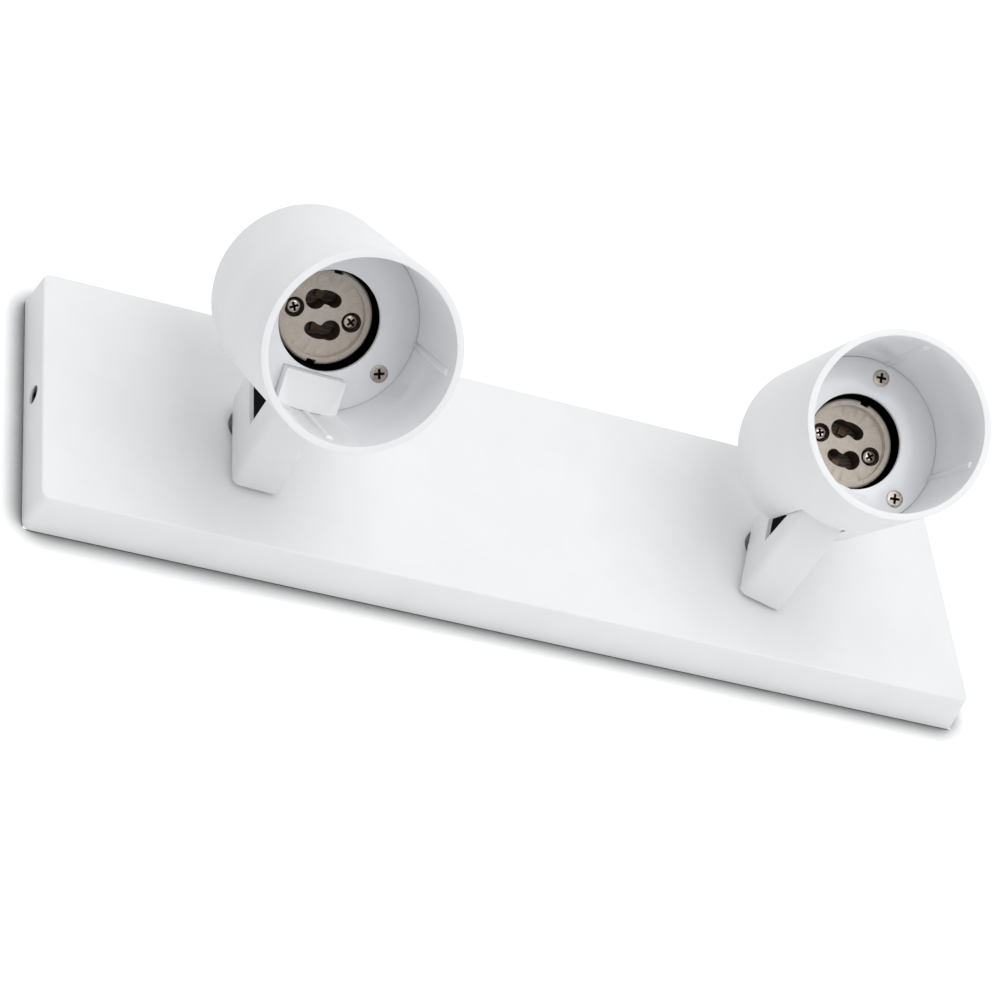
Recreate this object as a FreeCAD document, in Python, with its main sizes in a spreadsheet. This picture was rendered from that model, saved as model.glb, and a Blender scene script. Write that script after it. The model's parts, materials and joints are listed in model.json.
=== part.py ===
"""Twin spotlight wall light: a shallow wall plate that carries two swivelling, tilting lamp cans.

Millimetres. The wall is the plane y = 0, the light stands out of it towards -Y, +X runs along
the plate and +Z is up. The origin is the centre of the plate's back.

Each side has its own two frames. The arm frame has its origin where the swivel axis leaves the
plate's front, with -Y out of the wall. The head frame has its origin on the tilt axis, with the
lamp looking along -Y before it is tilted. Sizes live in the spreadsheet "dims".
"""
import math
import os

import FreeCAD
import Part
import Sketcher

from FreeCAD import Placement, Rotation, Vector

OUT_DIR = "parts"
EPS = 1e-6

DIMS = {
    # fits
    "running_fit": 0.05,
    "close_fit": 0.03,
    "press_fit": 0.01,
    "seat_fit": 0.1,
    # wall plate: a drafted shallow tray, open to the wall
    "plate_length": 300.0,
    "plate_height": 90.0,
    "plate_depth": 13.0,
    "plate_inset": 1.45,
    "plate_wall": 1.2,
    "plate_corner_r": 2.6,
    "plate_edge_r": 0.7,
    "side_hole_d": 5.7,
    "side_screw_y": 6.6,
    "side_screw_key_depth": 1.0,
    # wall bracket behind the plate
    "bracket_end_gap": 3.0,
    "bracket_height": 32.0,
    "bracket_sheet": 1.5,
    "bracket_bend_r": 1.2,
    "bracket_tab_height": 14.0,
    "bracket_tab_reach": 10.0,
    "fixing_pitch": 120.0,
    "fixing_slot_length": 12.0,
    "fixing_slot_width": 5.0,
    # cable entry
    "cable_hole_d": 16.0,
    "cable_bore_d": 10.0,
    "grommet_lip": 2.0,
    "grommet_lip_thick": 1.2,
    # terminal block and earth clamp
    "block_x": 34.0,
    "block_width": 24.0,
    "block_height": 16.0,
    "block_depth": 9.0,
    "pole_pitch": 7.6,
    "pole_groove": 1.0,
    "pole_groove_depth": 5.0,
    "wire_bore": 3.4,
    "lever_width": 5.6,
    "lever_length": 10.0,
    "lever_thick": 1.8,
    "lever_sink": 1.4,
    "earth_up": 9.0,
    "earth_screw_d": 4.0,
    "earth_head_af": 7.0,
    "earth_head_thick": 2.6,
    "earth_cup_d": 8.4,
    "earth_cup_thick": 1.0,
    # swivel
    "pivot_x": 85.0,
    "nipple_d": 8.0,
    "nipple_bore_d": 5.6,
    "nipple_tail": 0.6,
    "washer_d": 15.8,
    "washer_thick": 1.6,
    "nut_thick": 3.0,
    "rear_nut_af": 12.0,
    "foot_nut_af": 10.0,
    # arm: a folded channel, a low foot along the plate and an upright out of it
    "arm_width": 14.4,
    "arm_sheet": 1.3,
    "arm_base_sheet": 1.5,
    "arm_bend_r": 2.4,
    "heel_r": 2.5,
    "foot_thick": 13.7,
    "foot_below": 24.8,
    "foot_above": 8.2,
    "foot_slope": 0.6,
    "upright_root": 10.4,
    "upright_neck": 8.4,
    "neck_out": 27.2,
    "pin_out": 32.2,
    "pin_up": 11.5,
    "ear_r": 5.0,
    "ear_back_deg": 53.1,
    "ear_front_deg": 23.6,
    "web_past_pin": 7.5,
    "web_end_up": 1.0,
    "pin_d": 3.5,
    # arm liner with its duct
    "liner_recess": 1.0,
    "liner_clear": 0.45,
    "liner_end": 2.25,
    "duct_width": 5.2,
    "duct_height": 3.4,
    "duct_over_pivot": 3.0,
    # lamp can
    "can_d": 55.0,
    "can_wall": 1.95,
    "can_rear": 18.1,
    "rim_ahead": 50.8,
    "divider_ahead": 10.9,
    "divider_thick": 1.5,
    "back_thick": 1.6,
    "aperture_d": 28.8,
    "rib_length": 34.0,
    "rib_r": 1.2,
    "rib_rise": 0.75,
    "boss_inset": 4.55,
    "boss_r": 3.2,
    "boss_length": 13.5,
    "screw_d": 3.0,
    "screw_length": 10.0,
    "screw_end_gap": 1.0,
    "screw_head_d": 5.2,
    # tunnel through the can's wall, in which the arm's end moves
    "head_gap": 0.3,
    "ear_gap": 0.8,
    "sweep_gap": 0.6,
    "tunnel_wall": 1.2,
    "lead_hole_length": 7.0,
    "lead_hole_width": 3.8,
    "lead_hole_from_back": 5.1,
    # lampholder
    "socket_d": 27.1,
    "socket_front_ahead": 5.0,
    "socket_length": 15.2,
    "socket_clear": 1.25,
    "socket_floor": 2.6,
    "socket_lip": 1.9,
    "socket_edge": 0.5,
    "socket_groove": 2.6,
    "socket_groove_depth": 1.1,
    "pin_pitch": 10.0,
    "keyhole_d": 5.8,
    "keyhole_slot": 4.0,
    "keyhole_sweep": 66.0,
    "keyhole_start": 132.0,
    "keyhole_depth": 8.0,
    "contact": 2.4,
    "contact_thick": 1.2,
    "socket_screw_pitch": 17.0,
    "socket_screw_sink": 2.4,
    "socket_screw_head": 1.9,
    "socket_screw_head_d": 4.6,
    "socket_well_d": 5.7,
    "post_d": 6.0,
    "lead_d": 2.0,
    "lead_from_axis": 8.0,
    "lead_spread_top": 3.0,
    "lead_spread_low": 1.6,
}

FORMULAS = {
    "bracket_length": "plate_length - 2 * bracket_end_gap",
    "bracket_tab_margin": "(bracket_height - bracket_tab_height) / 2",
    "slot_width": "arm_width + 2 * head_gap",
    "slot_top_up": "ear_r + ear_gap",
    "slot_front_ahead": "hypot(web_past_pin; pin_up) + sweep_gap",
    "tunnel_width": "slot_width + 2 * tunnel_wall",
    "tunnel_top_up": "slot_top_up + tunnel_wall",
    "tunnel_front_ahead": "slot_front_ahead + tunnel_wall",
    "lead_hole_back": "can_rear - lead_hole_from_back",
    "can_axis_up": "socket_d / 2 + tunnel_top_up + socket_clear",
    "can_inner_d": "can_d - 2 * can_wall",
    "can_length": "rim_ahead + can_rear",
    "screw_ring_r": "can_inner_d / 2 - boss_inset",
    "boss_front_ahead": "divider_ahead - divider_thick",
    "socket_floor_ahead": "socket_front_ahead - socket_floor",
    "socket_rear": "socket_length - socket_front_ahead",
    "screw_head_taper": "(screw_head_d - screw_d) / 2",
    "liner_start": "arm_base_sheet + running_fit + nut_thick + nipple_tail + liner_clear",
    "swivel_bore_d": "nipple_d + 2 * running_fit",
    "nut_bore_d": "nipple_d + 2 * close_fit",
    "arm_pin_bore_d": "pin_d + 2 * running_fit",
    "can_pin_bore_d": "pin_d + 2 * press_fit",
    "screw_bore_d": "screw_d + 2 * running_fit",
    "screw_clear_d": "screw_d + 2 * seat_fit",
}

SIDES = (
    # name, side of the plate's centre, swivel about +Y in degrees, tilt below level in degrees
    ("left", -1.0, 2.3, 56.1),
    ("right", 1.0, 17.5, 37.6),
)

doc = FreeCAD.newDocument("wall_light")
sheet = doc.addObject("Spreadsheet::Sheet", "dims")
cells = [(alias, repr(value)) for alias, value in DIMS.items()]
cells += [(alias, "=" + formula) for alias, formula in FORMULAS.items()]
for row, (alias, content) in enumerate(cells, start=1):
    sheet.set("A%d" % row, alias)
    sheet.set("B%d" % row, content)
    sheet.setAlias("B%d" % row, alias)
doc.recompute()

nodes = []


class Dim:
    """The sizes in the sheet, read by name."""

    def __getattr__(self, name):
        return float(sheet.get(name))


d = Dim()


# ---------------------------------------------------------------- drawing helpers
def new_body(label, placement=None):
    """Start a named body at a placement."""
    body = doc.addObject("PartDesign::Body", label)
    body.Label = label
    if placement is not None:
        body.Placement = placement
    nodes.append(body)
    return body


def new_sketch(body, role, offset=0.0):
    """Add a sketch on one of the body's own planes, moved along the plane's normal."""
    plane = next(f for f in body.Origin.OriginFeatures if f.Role == role)
    sketch = body.newObject("Sketcher::SketchObject", "%s_sketch" % body.Name)
    sketch.AttachmentSupport = [(plane, "")]
    sketch.MapMode = "FlatFace"
    sketch.AttachmentOffset = Placement(Vector(0, 0, offset), Rotation())
    return sketch


def size(sketch, constraint, expression):
    """Add a driving size to a sketch and bind it to the sheet."""
    index = sketch.addConstraint(constraint)
    if expression:
        sketch.setExpression("Constraints[%d]" % index, expression)
    return index


def circle(sketch, x, y, diameter, expression=None):
    """Draw a circle by centre and diameter."""
    edge = sketch.addGeometry(Part.Circle(Vector(x, y, 0), Vector(0, 0, 1), diameter / 2), False)
    size(sketch, Sketcher.Constraint("Diameter", edge, diameter), expression)
    sketch.addConstraint(Sketcher.Constraint("DistanceX", -1, 1, edge, 3, x))
    sketch.addConstraint(Sketcher.Constraint("DistanceY", -1, 1, edge, 3, y))
    return edge


def outline(sketch, points):
    """Draw a closed outline of straight lines."""
    first = None
    count = len(points)
    for index in range(count):
        start = Vector(points[index][0], points[index][1], 0)
        end = Vector(points[(index + 1) % count][0], points[(index + 1) % count][1], 0)
        edge = sketch.addGeometry(Part.LineSegment(start, end), False)
        first = edge if first is None else first
    for index in range(count):
        here = first + index
        following = first + (index + 1) % count
        sketch.addConstraint(Sketcher.Constraint("Coincident", here, 2, following, 1))
    return first


def rectangle(sketch, x, y, width, height, width_expression=None, height_expression=None):
    """Draw a rectangle by its centre and sizes."""
    left, right = x - width / 2, x + width / 2
    low, high = y - height / 2, y + height / 2
    first = outline(sketch, [(left, low), (right, low), (right, high), (left, high)])
    for edge, kind in zip(range(4), ("Horizontal", "Vertical", "Horizontal", "Vertical")):
        sketch.addConstraint(Sketcher.Constraint(kind, first + edge))
    size(sketch, Sketcher.Constraint("DistanceX", first, 1, first, 2, width), width_expression)
    size(sketch, Sketcher.Constraint("DistanceY", first + 1, 1, first + 1, 2, height), height_expression)
    return first


def slot(sketch, x, y, length, width):
    """Draw a round-ended slot that lies along the sketch's x."""
    half = (length - width) / 2
    radius = width / 2
    up = Vector(0, 0, 1)
    right_arc = Part.ArcOfCircle(Part.Circle(Vector(x + half, y, 0), up, radius), -math.pi / 2, math.pi / 2)
    left_arc = Part.ArcOfCircle(Part.Circle(Vector(x - half, y, 0), up, radius), math.pi / 2, math.pi * 1.5)
    top = Part.LineSegment(Vector(x + half, y + radius, 0), Vector(x - half, y + radius, 0))
    bottom = Part.LineSegment(Vector(x - half, y - radius, 0), Vector(x + half, y - radius, 0))
    for edge in (bottom, right_arc, top, left_arc):
        sketch.addGeometry(edge, False)


def pad(body, sketch, length, expression=None, both=False, taper=0.0, back=False):
    """Raise a sketch into a solid."""
    feature = body.newObject("PartDesign::Pad", "%s_pad" % body.Name)
    feature.Profile = sketch
    feature.Length = length
    feature.Midplane = both
    feature.Reversed = back
    if taper:
        feature.TaperAngle = taper
    if expression:
        feature.setExpression("Length", expression)
    sketch.Visibility = False
    doc.recompute()
    return feature


def pocket(body, sketch, length, expression=None, both=False, taper=0.0):
    """Cut a sketch out of the solid, along the sketch's normal, and check that it cut."""
    before = body.Shape.Volume
    feature = body.newObject("PartDesign::Pocket", "%s_pocket" % body.Name)
    feature.Profile = sketch
    feature.Length = length
    feature.Midplane = both
    feature.Reversed = not both
    if taper:
        feature.TaperAngle = taper
    if expression:
        feature.setExpression("Length", expression)
    sketch.Visibility = False
    doc.recompute()
    if not body.Shape.Volume < before - EPS:
        raise ValueError("a pocket in %s removed nothing" % body.Label)
    return feature


def edges_where(shape, test):
    """Name the edges of a shape that pass a test."""
    return ["Edge%d" % (i + 1) for i, edge in enumerate(shape.Edges) if test(edge)]


def fillet(body, radius, test, expression=None):
    """Round the body's edges that pass a test."""
    base = body.Tip
    names = edges_where(base.Shape, test)
    if not names:
        raise ValueError("no edge to round in %s" % body.Label)
    feature = body.newObject("PartDesign::Fillet", "%s_fillet" % body.Name)
    feature.Base = (base, names)
    feature.Radius = radius
    if expression:
        feature.setExpression("Radius", expression)
    doc.recompute()
    return feature


def chamfer(body, width, test):
    """Bevel the body's edges that pass a test."""
    names = edges_where(body.Tip.Shape, test)
    if not names:
        raise ValueError("no edge to bevel in %s" % body.Label)
    base = body.Tip
    feature = body.newObject("PartDesign::Chamfer", "%s_chamfer" % body.Name)
    feature.Base = (base, names)
    feature.Size = width
    doc.recompute()
    return feature


def is_arc(edge, radius):
    """Whether an edge is a circle or arc of this radius."""
    curve = edge.Curve
    return curve.TypeId == "Part::GeomCircle" and abs(curve.Radius - radius) < 1e-4


def flat_at(edge, axis, value):
    """Whether an edge lies in the plane axis = value."""
    box = edge.BoundBox
    low, high = {"x": (box.XMin, box.XMax), "y": (box.YMin, box.YMax), "z": (box.ZMin, box.ZMax)}[axis]
    return abs(low - value) < 1e-4 and abs(high - value) < 1e-4


def solids(label, shapes, placement=None):
    """Keep one or more plain solids as one named node."""
    shape = shapes[0] if len(shapes) == 1 else Part.makeCompound(shapes)
    feature = doc.addObject("Part::Feature", label)
    feature.Label = label
    feature.Shape = shape
    if placement is not None:
        feature.Placement = placement
    nodes.append(feature)
    return feature


def rod(x, z, start, end, radius):
    """A cylinder along Y from start to end."""
    low = min(start, end)
    return Part.makeCylinder(radius, abs(end - start), Vector(x, low, z), Vector(0, 1, 0))


def rod_x(y, z, start, end, radius):
    """A cylinder along X from start to end."""
    return Part.makeCylinder(radius, end - start, Vector(start, y, z), Vector(1, 0, 0))


def hexagon(across_flats, start, end, bore, x=0.0, z=0.0):
    """A hexagon nut with its axis along Y."""
    corner = across_flats / 2 / math.cos(math.pi / 6)
    ring = [Vector(x + corner * math.cos(math.pi / 3 * i), start, z + corner * math.sin(math.pi / 3 * i))
            for i in range(7)]
    prism = Part.Face(Part.makePolygon(ring)).extrude(Vector(0, end - start, 0))
    return prism.cut(rod(x, z, start, end, bore / 2)) if bore else prism


def cross_recess(x, y, z, arm_length, arm_width, depth):
    """The cutter for a cross recess in a face that looks along -Y at height y."""
    long_bar = Part.makeBox(arm_length, depth, arm_width, Vector(x - arm_length / 2, y, z - arm_width / 2))
    tall_bar = Part.makeBox(arm_width, depth, arm_length, Vector(x - arm_width / 2, y, z - arm_length / 2))
    return long_bar.fuse(tall_bar)


# ---------------------------------------------------------------- wall plate and what is behind it
def frustum(body, kind, front, inset):
    """Add or cut a drafted block that stands on the wall, narrowing towards the plate's front."""
    wedge = body.newObject("PartDesign::%sWedge" % kind, "%s_block" % body.Name)
    half_x = "dims.plate_length / 2 - %s" % inset
    half_z = "dims.plate_height / 2 - %s" % inset
    draft = "dims.plate_inset * (%s) / dims.plate_depth" % front
    sizes = {"Ymin": "-(%s)" % front, "Ymax": "0", "X2max": half_x, "Z2max": half_z,
             "Xmax": "%s - %s" % (half_x, draft), "Zmax": "%s - %s" % (half_z, draft)}
    for name in ("X2", "Z2", "X", "Z"):
        sizes[name + "min"] = "-(%s)" % sizes[name + "max"]
    for name in ("Ymin", "Ymax", "Xmax", "Xmin", "Zmax", "Zmin", "X2max", "X2min", "Z2max", "Z2min"):
        wedge.setExpression(name, sizes[name])
    doc.recompute()
    return wedge


def build_cover_plate():
    """The visible tray: drafted sides, rounded corners, two swivel holes and two side holes."""
    body = new_body("cover_plate")
    frustum(body, "Additive", "dims.plate_depth", "0")
    fillet(body, d.plate_corner_r, lambda edge: edge.BoundBox.YLength > d.plate_depth - 1e-3,
           "dims.plate_corner_r")
    fillet(body, d.plate_edge_r, lambda edge: flat_at(edge, "y", -d.plate_depth), "dims.plate_edge_r")
    frustum(body, "Subtractive", "dims.plate_depth - dims.plate_wall", "dims.plate_wall")
    swivel = new_sketch(body, "XZ_Plane")
    for side in (-1, 1):
        circle(swivel, side * d.pivot_x, 0, d.swivel_bore_d, "dims.swivel_bore_d")
    pocket(body, swivel, d.plate_depth + 2)
    sides = new_sketch(body, "YZ_Plane")
    circle(sides, -d.side_screw_y, 0, d.side_hole_d, "dims.side_hole_d")
    pocket(body, sides, d.plate_length + 10, both=True)


def build_wall_bracket():
    """The strap that is screwed to the wall, with a tab at each end for the plate's side screws."""
    body = new_body("wall_bracket")
    profile = new_sketch(body, "XY_Plane")
    half = d.bracket_length / 2
    thick = d.bracket_sheet
    reach = d.bracket_tab_reach
    outline(profile, [(-half, 0), (half, 0), (half, -reach), (half - thick, -reach), (half - thick, -thick),
                      (-half + thick, -thick), (-half + thick, -reach), (-half, -reach)])
    pad(body, profile, d.bracket_height, "dims.bracket_height", both=True)
    sides = new_sketch(body, "YZ_Plane")
    over = d.bracket_height
    margin = d.bracket_tab_margin
    for side in (-1, 1):
        middle = side * (d.bracket_tab_height / 2 + (margin + over) / 2)
        rectangle(sides, -thick - reach, middle, 2 * reach, margin + over)
    pocket(body, sides, d.bracket_length + 10, both=True)
    tapped = new_sketch(body, "YZ_Plane")
    circle(tapped, -d.side_screw_y, 0, d.screw_bore_d, "dims.screw_bore_d")
    pocket(body, tapped, d.bracket_length + 10, both=True)
    holes = new_sketch(body, "XZ_Plane")
    circle(holes, 0, 0, d.cable_hole_d, "dims.cable_hole_d")
    circle(holes, d.block_x, d.earth_up, d.earth_screw_d + 2 * d.running_fit)
    for side in (-1, 1):
        slot(holes, side * d.fixing_pitch / 2, 0, d.fixing_slot_length, d.fixing_slot_width)
    pocket(body, holes, thick + 1)
    fold = lambda edge: flat_at(edge, "y", 0) and edge.BoundBox.ZLength > d.bracket_tab_height - 1 and any(
        flat_at(edge, "x", side * half) for side in (-1, 1))
    fillet(body, d.bracket_bend_r, fold, "dims.bracket_bend_r")


def build_grommet():
    """The rubber ring that lines the cable hole."""
    body = new_body("cable_grommet")
    profile = new_sketch(body, "XY_Plane")
    bore = d.cable_bore_d / 2
    hole = d.cable_hole_d / 2 - d.running_fit
    face = -d.bracket_sheet
    outline(profile, [(bore, 0), (hole, 0), (hole, face), (hole + d.grommet_lip, face),
                      (hole + d.grommet_lip, face - d.grommet_lip_thick), (bore, face - d.grommet_lip_thick)])
    turn = body.newObject("PartDesign::Revolution", "grommet_turn")
    turn.Profile = profile
    turn.ReferenceAxis = (profile, ["V_Axis"])
    turn.Angle = 360
    profile.Visibility = False
    doc.recompute()


def build_terminal_block():
    """The three-pole connector with a lever over each pole."""
    body = new_body("terminal_block")
    poles = [-d.block_x + step * d.pole_pitch for step in (-1, 0, 1)]
    front = d.bracket_sheet + d.block_depth
    base = new_sketch(body, "XZ_Plane", d.bracket_sheet)
    rectangle(base, -d.block_x, 0, d.block_width, d.block_height, "dims.block_width", "dims.block_height")
    pad(body, base, d.block_depth, "dims.block_depth")
    grooves = new_sketch(body, "XZ_Plane", front - d.pole_groove_depth)
    for side in (-1, 1):
        rectangle(grooves, -d.block_x + side * d.pole_pitch / 2, 0, d.pole_groove, d.block_height + 2)
    pocket(body, grooves, d.block_depth)
    wires = new_sketch(body, "XY_Plane")
    for x in poles:
        rectangle(wires, x, -d.bracket_sheet - d.wire_bore, d.wire_bore, d.wire_bore,
                  "dims.wire_bore", "dims.wire_bore")
    pocket(body, wires, d.block_height + 4, both=True)
    seats = new_sketch(body, "XZ_Plane", front - d.lever_sink)
    for x in poles:
        rectangle(seats, x, 0, d.lever_width + 2 * d.running_fit, d.lever_length + 2 * d.running_fit)
    pocket(body, seats, d.block_depth)
    low = d.lever_sink - front
    solids("terminal_levers", [
        Part.makeBox(d.lever_width, d.lever_thick, d.lever_length,
                     Vector(x - d.lever_width / 2, low - d.lever_thick, -d.lever_length / 2))
        for x in poles])


def build_earth_screw():
    """The hexagon earth screw with its cup washer, on the strap."""
    x, z = d.block_x, d.earth_up
    face = -d.bracket_sheet
    under_head = face - d.earth_cup_thick
    cup = rod(x, z, under_head, face, d.earth_cup_d / 2)
    head = hexagon(d.earth_head_af, under_head - d.earth_head_thick, under_head, 0, x, z)
    shank = rod(x, z, under_head, -d.seat_fit, d.earth_screw_d / 2)
    solids("earth_screw", [head.fuse([cup, shank]).removeSplitter()])


def build_cover_screws():
    """The two dark socket screws that hold the plate to the strap's tabs, one in each side hole."""
    shapes = []
    outer = d.plate_length / 2 - d.plate_inset * d.side_screw_y / d.plate_depth
    key = d.side_hole_d * 0.4
    deep = d.side_screw_key_depth
    y = -d.side_screw_y
    for side in (-1, 1):
        head_end = side * (outer - d.plate_wall / 3)
        neck = side * (d.bracket_length / 2 + d.running_fit)
        shank_end = side * (d.bracket_length / 2 - 2 * d.bracket_sheet)
        head = rod_x(y, 0, min(neck, head_end), max(neck, head_end), d.side_hole_d / 2 - d.seat_fit)
        shank = rod_x(y, 0, min(neck, shank_end), max(neck, shank_end), d.screw_d / 2)
        socket = Part.makeBox(deep, key, key, Vector(min(head_end, head_end - side * deep), y - key / 2, -key / 2))
        shapes.append(head.fuse(shank).removeSplitter().cut(socket))
    solids("cover_screws", shapes)


def build_swivels():
    """The hollow threaded pivots, their two nuts each and the spacer washers, all fixed to the plate."""
    face = -d.plate_depth
    inner = face + d.plate_wall
    washer_low = face - d.washer_thick
    nut_low = washer_low - 2 * d.running_fit - d.arm_base_sheet
    tip = nut_low - d.nut_thick - d.nipple_tail
    tubes, nuts, rings = [], [], []
    for _, side, _, _ in SIDES:
        x = side * d.pivot_x
        tube = rod(x, 0, tip, inner + d.nut_thick + d.nipple_tail, d.nipple_d / 2)
        tubes.append(tube.cut(rod(x, 0, tip - 1, 0, d.nipple_bore_d / 2)))
        nuts.append(hexagon(d.rear_nut_af, inner, inner + d.nut_thick, d.nut_bore_d, x))
        nuts.append(hexagon(d.foot_nut_af, nut_low - d.nut_thick, nut_low, d.nut_bore_d, x))
        ring = rod(x, 0, washer_low, face, d.washer_d / 2)
        rings.append(ring.cut(rod(x, 0, washer_low - 1, face, d.nut_bore_d / 2)))
    solids("swivel_nipples", tubes)
    solids("nipple_nuts", nuts)
    solids("spacer_washers", rings)


# ---------------------------------------------------------------- arm
def arm_point(out, up):
    """A point of the arm's side view: out from the foot's plate side, up from the web."""
    return (-(d.washer_thick + d.running_fit + out), up - d.foot_below)


def ear_point(angle):
    """A point of the ear's outline in the arm's side view, by its angle in degrees from straight out."""
    turn = math.radians(angle)
    return arm_point(d.pin_out + d.ear_r * math.cos(turn), d.pin_up + d.ear_r * math.sin(turn))


def build_arm(side_name, placement):
    """The folded channel: web towards the floor, a flange on each side, foot and upright."""
    body = new_body("%s_arm" % side_name, placement)
    pin_y, pin_z = arm_point(d.pin_out, d.pin_up)
    foot_span = d.foot_below + d.foot_above
    web_end = d.pin_out + d.web_past_pin
    side_view = new_sketch(body, "YZ_Plane")
    outline(side_view, [
        arm_point(0, 0),
        arm_point(0, foot_span),
        arm_point(d.foot_thick, foot_span - d.foot_slope),
        arm_point(d.foot_thick, d.upright_root),
        arm_point(d.neck_out, d.upright_neck),
        ear_point(180 + d.ear_back_deg),
        arm_point(d.pin_out, d.pin_up),
        ear_point(-d.ear_front_deg),
        arm_point(web_end, d.web_end_up),
        arm_point(web_end, 0),
    ])
    pad(body, side_view, d.arm_width, "dims.arm_width", both=True)
    ear = new_sketch(body, "YZ_Plane")
    circle(ear, pin_y, pin_z, 2 * d.ear_r, "2 * dims.ear_r")
    pad(body, ear, d.arm_width, "dims.arm_width", both=True)
    fillet(body, d.arm_bend_r, lambda edge: flat_at(edge, "z", -d.foot_below) and edge.BoundBox.YLength > web_end / 2,
           "dims.arm_bend_r")
    end_y, end_z = arm_point(0, foot_span)
    fillet(body, d.heel_r, lambda edge: flat_at(edge, "z", end_z) and flat_at(edge, "y", end_y), "dims.heel_r")
    channel = new_sketch(body, "YZ_Plane")
    base_y, base_z = arm_point(d.arm_base_sheet, d.arm_sheet)
    top_z = end_z - d.arm_sheet - d.foot_slope
    past = arm_point(web_end + d.ear_r, 0)[0]
    outline(channel, [(base_y, base_z), (base_y, top_z), (past, top_z), (past, base_z)])
    pocket(body, channel, d.arm_width - 2 * d.arm_sheet, "dims.arm_width - 2 * dims.arm_sheet", both=True)
    pivot = new_sketch(body, "XZ_Plane")
    circle(pivot, 0, 0, d.swivel_bore_d, "dims.swivel_bore_d")
    pocket(body, pivot, d.foot_thick / 2)
    hole = new_sketch(body, "YZ_Plane")
    circle(hole, pin_y, pin_z, d.arm_pin_bore_d, "dims.arm_pin_bore_d")
    pocket(body, hole, d.arm_width + 4, both=True)


def build_arm_liner(side_name, placement):
    """The dark insert that fills the channel and carries the leads."""
    body = new_body("%s_arm_liner" % side_name, placement)
    web = d.arm_sheet
    neck = d.upright_neck - d.liner_recess
    foot_front = d.foot_thick - d.liner_recess
    foot_end = d.foot_below + d.foot_above - d.arm_sheet - d.foot_slope
    tip = d.pin_out - d.pin_d / 2 - d.liner_end
    side_view = new_sketch(body, "YZ_Plane")
    outline(side_view, [
        arm_point(d.liner_start, web),
        arm_point(d.liner_start, foot_end),
        arm_point(foot_front, foot_end),
        arm_point(foot_front, d.upright_root - d.liner_recess),
        arm_point(d.neck_out, neck),
        arm_point(tip, neck),
        arm_point(tip, web),
    ])
    pad(body, side_view, d.arm_width - 2 * d.arm_sheet, "dims.arm_width - 2 * dims.arm_sheet", both=True)
    duct = new_sketch(body, "YZ_Plane")
    duct_front = d.liner_start + d.duct_height
    duct_top = d.foot_below + d.duct_over_pivot
    outline(duct, [
        arm_point(d.liner_start - 1, web - 1),
        arm_point(d.liner_start - 1, duct_top),
        arm_point(duct_front, duct_top),
        arm_point(duct_front, web + d.duct_height),
        arm_point(tip + 1, web + d.duct_height),
        arm_point(tip + 1, web - 1),
    ])
    pocket(body, duct, d.duct_width, "dims.duct_width", both=True)


# ---------------------------------------------------------------- lamp can
def ring_points(count, radius, start_deg=90.0):
    """Points of a circle round the can's axis, as x and z in the head frame."""
    points = []
    for index in range(count):
        angle = math.radians(start_deg + 360.0 * index / count)
        points.append((radius * math.cos(angle), d.can_axis_up + radius * math.sin(angle)))
    return points


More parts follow.
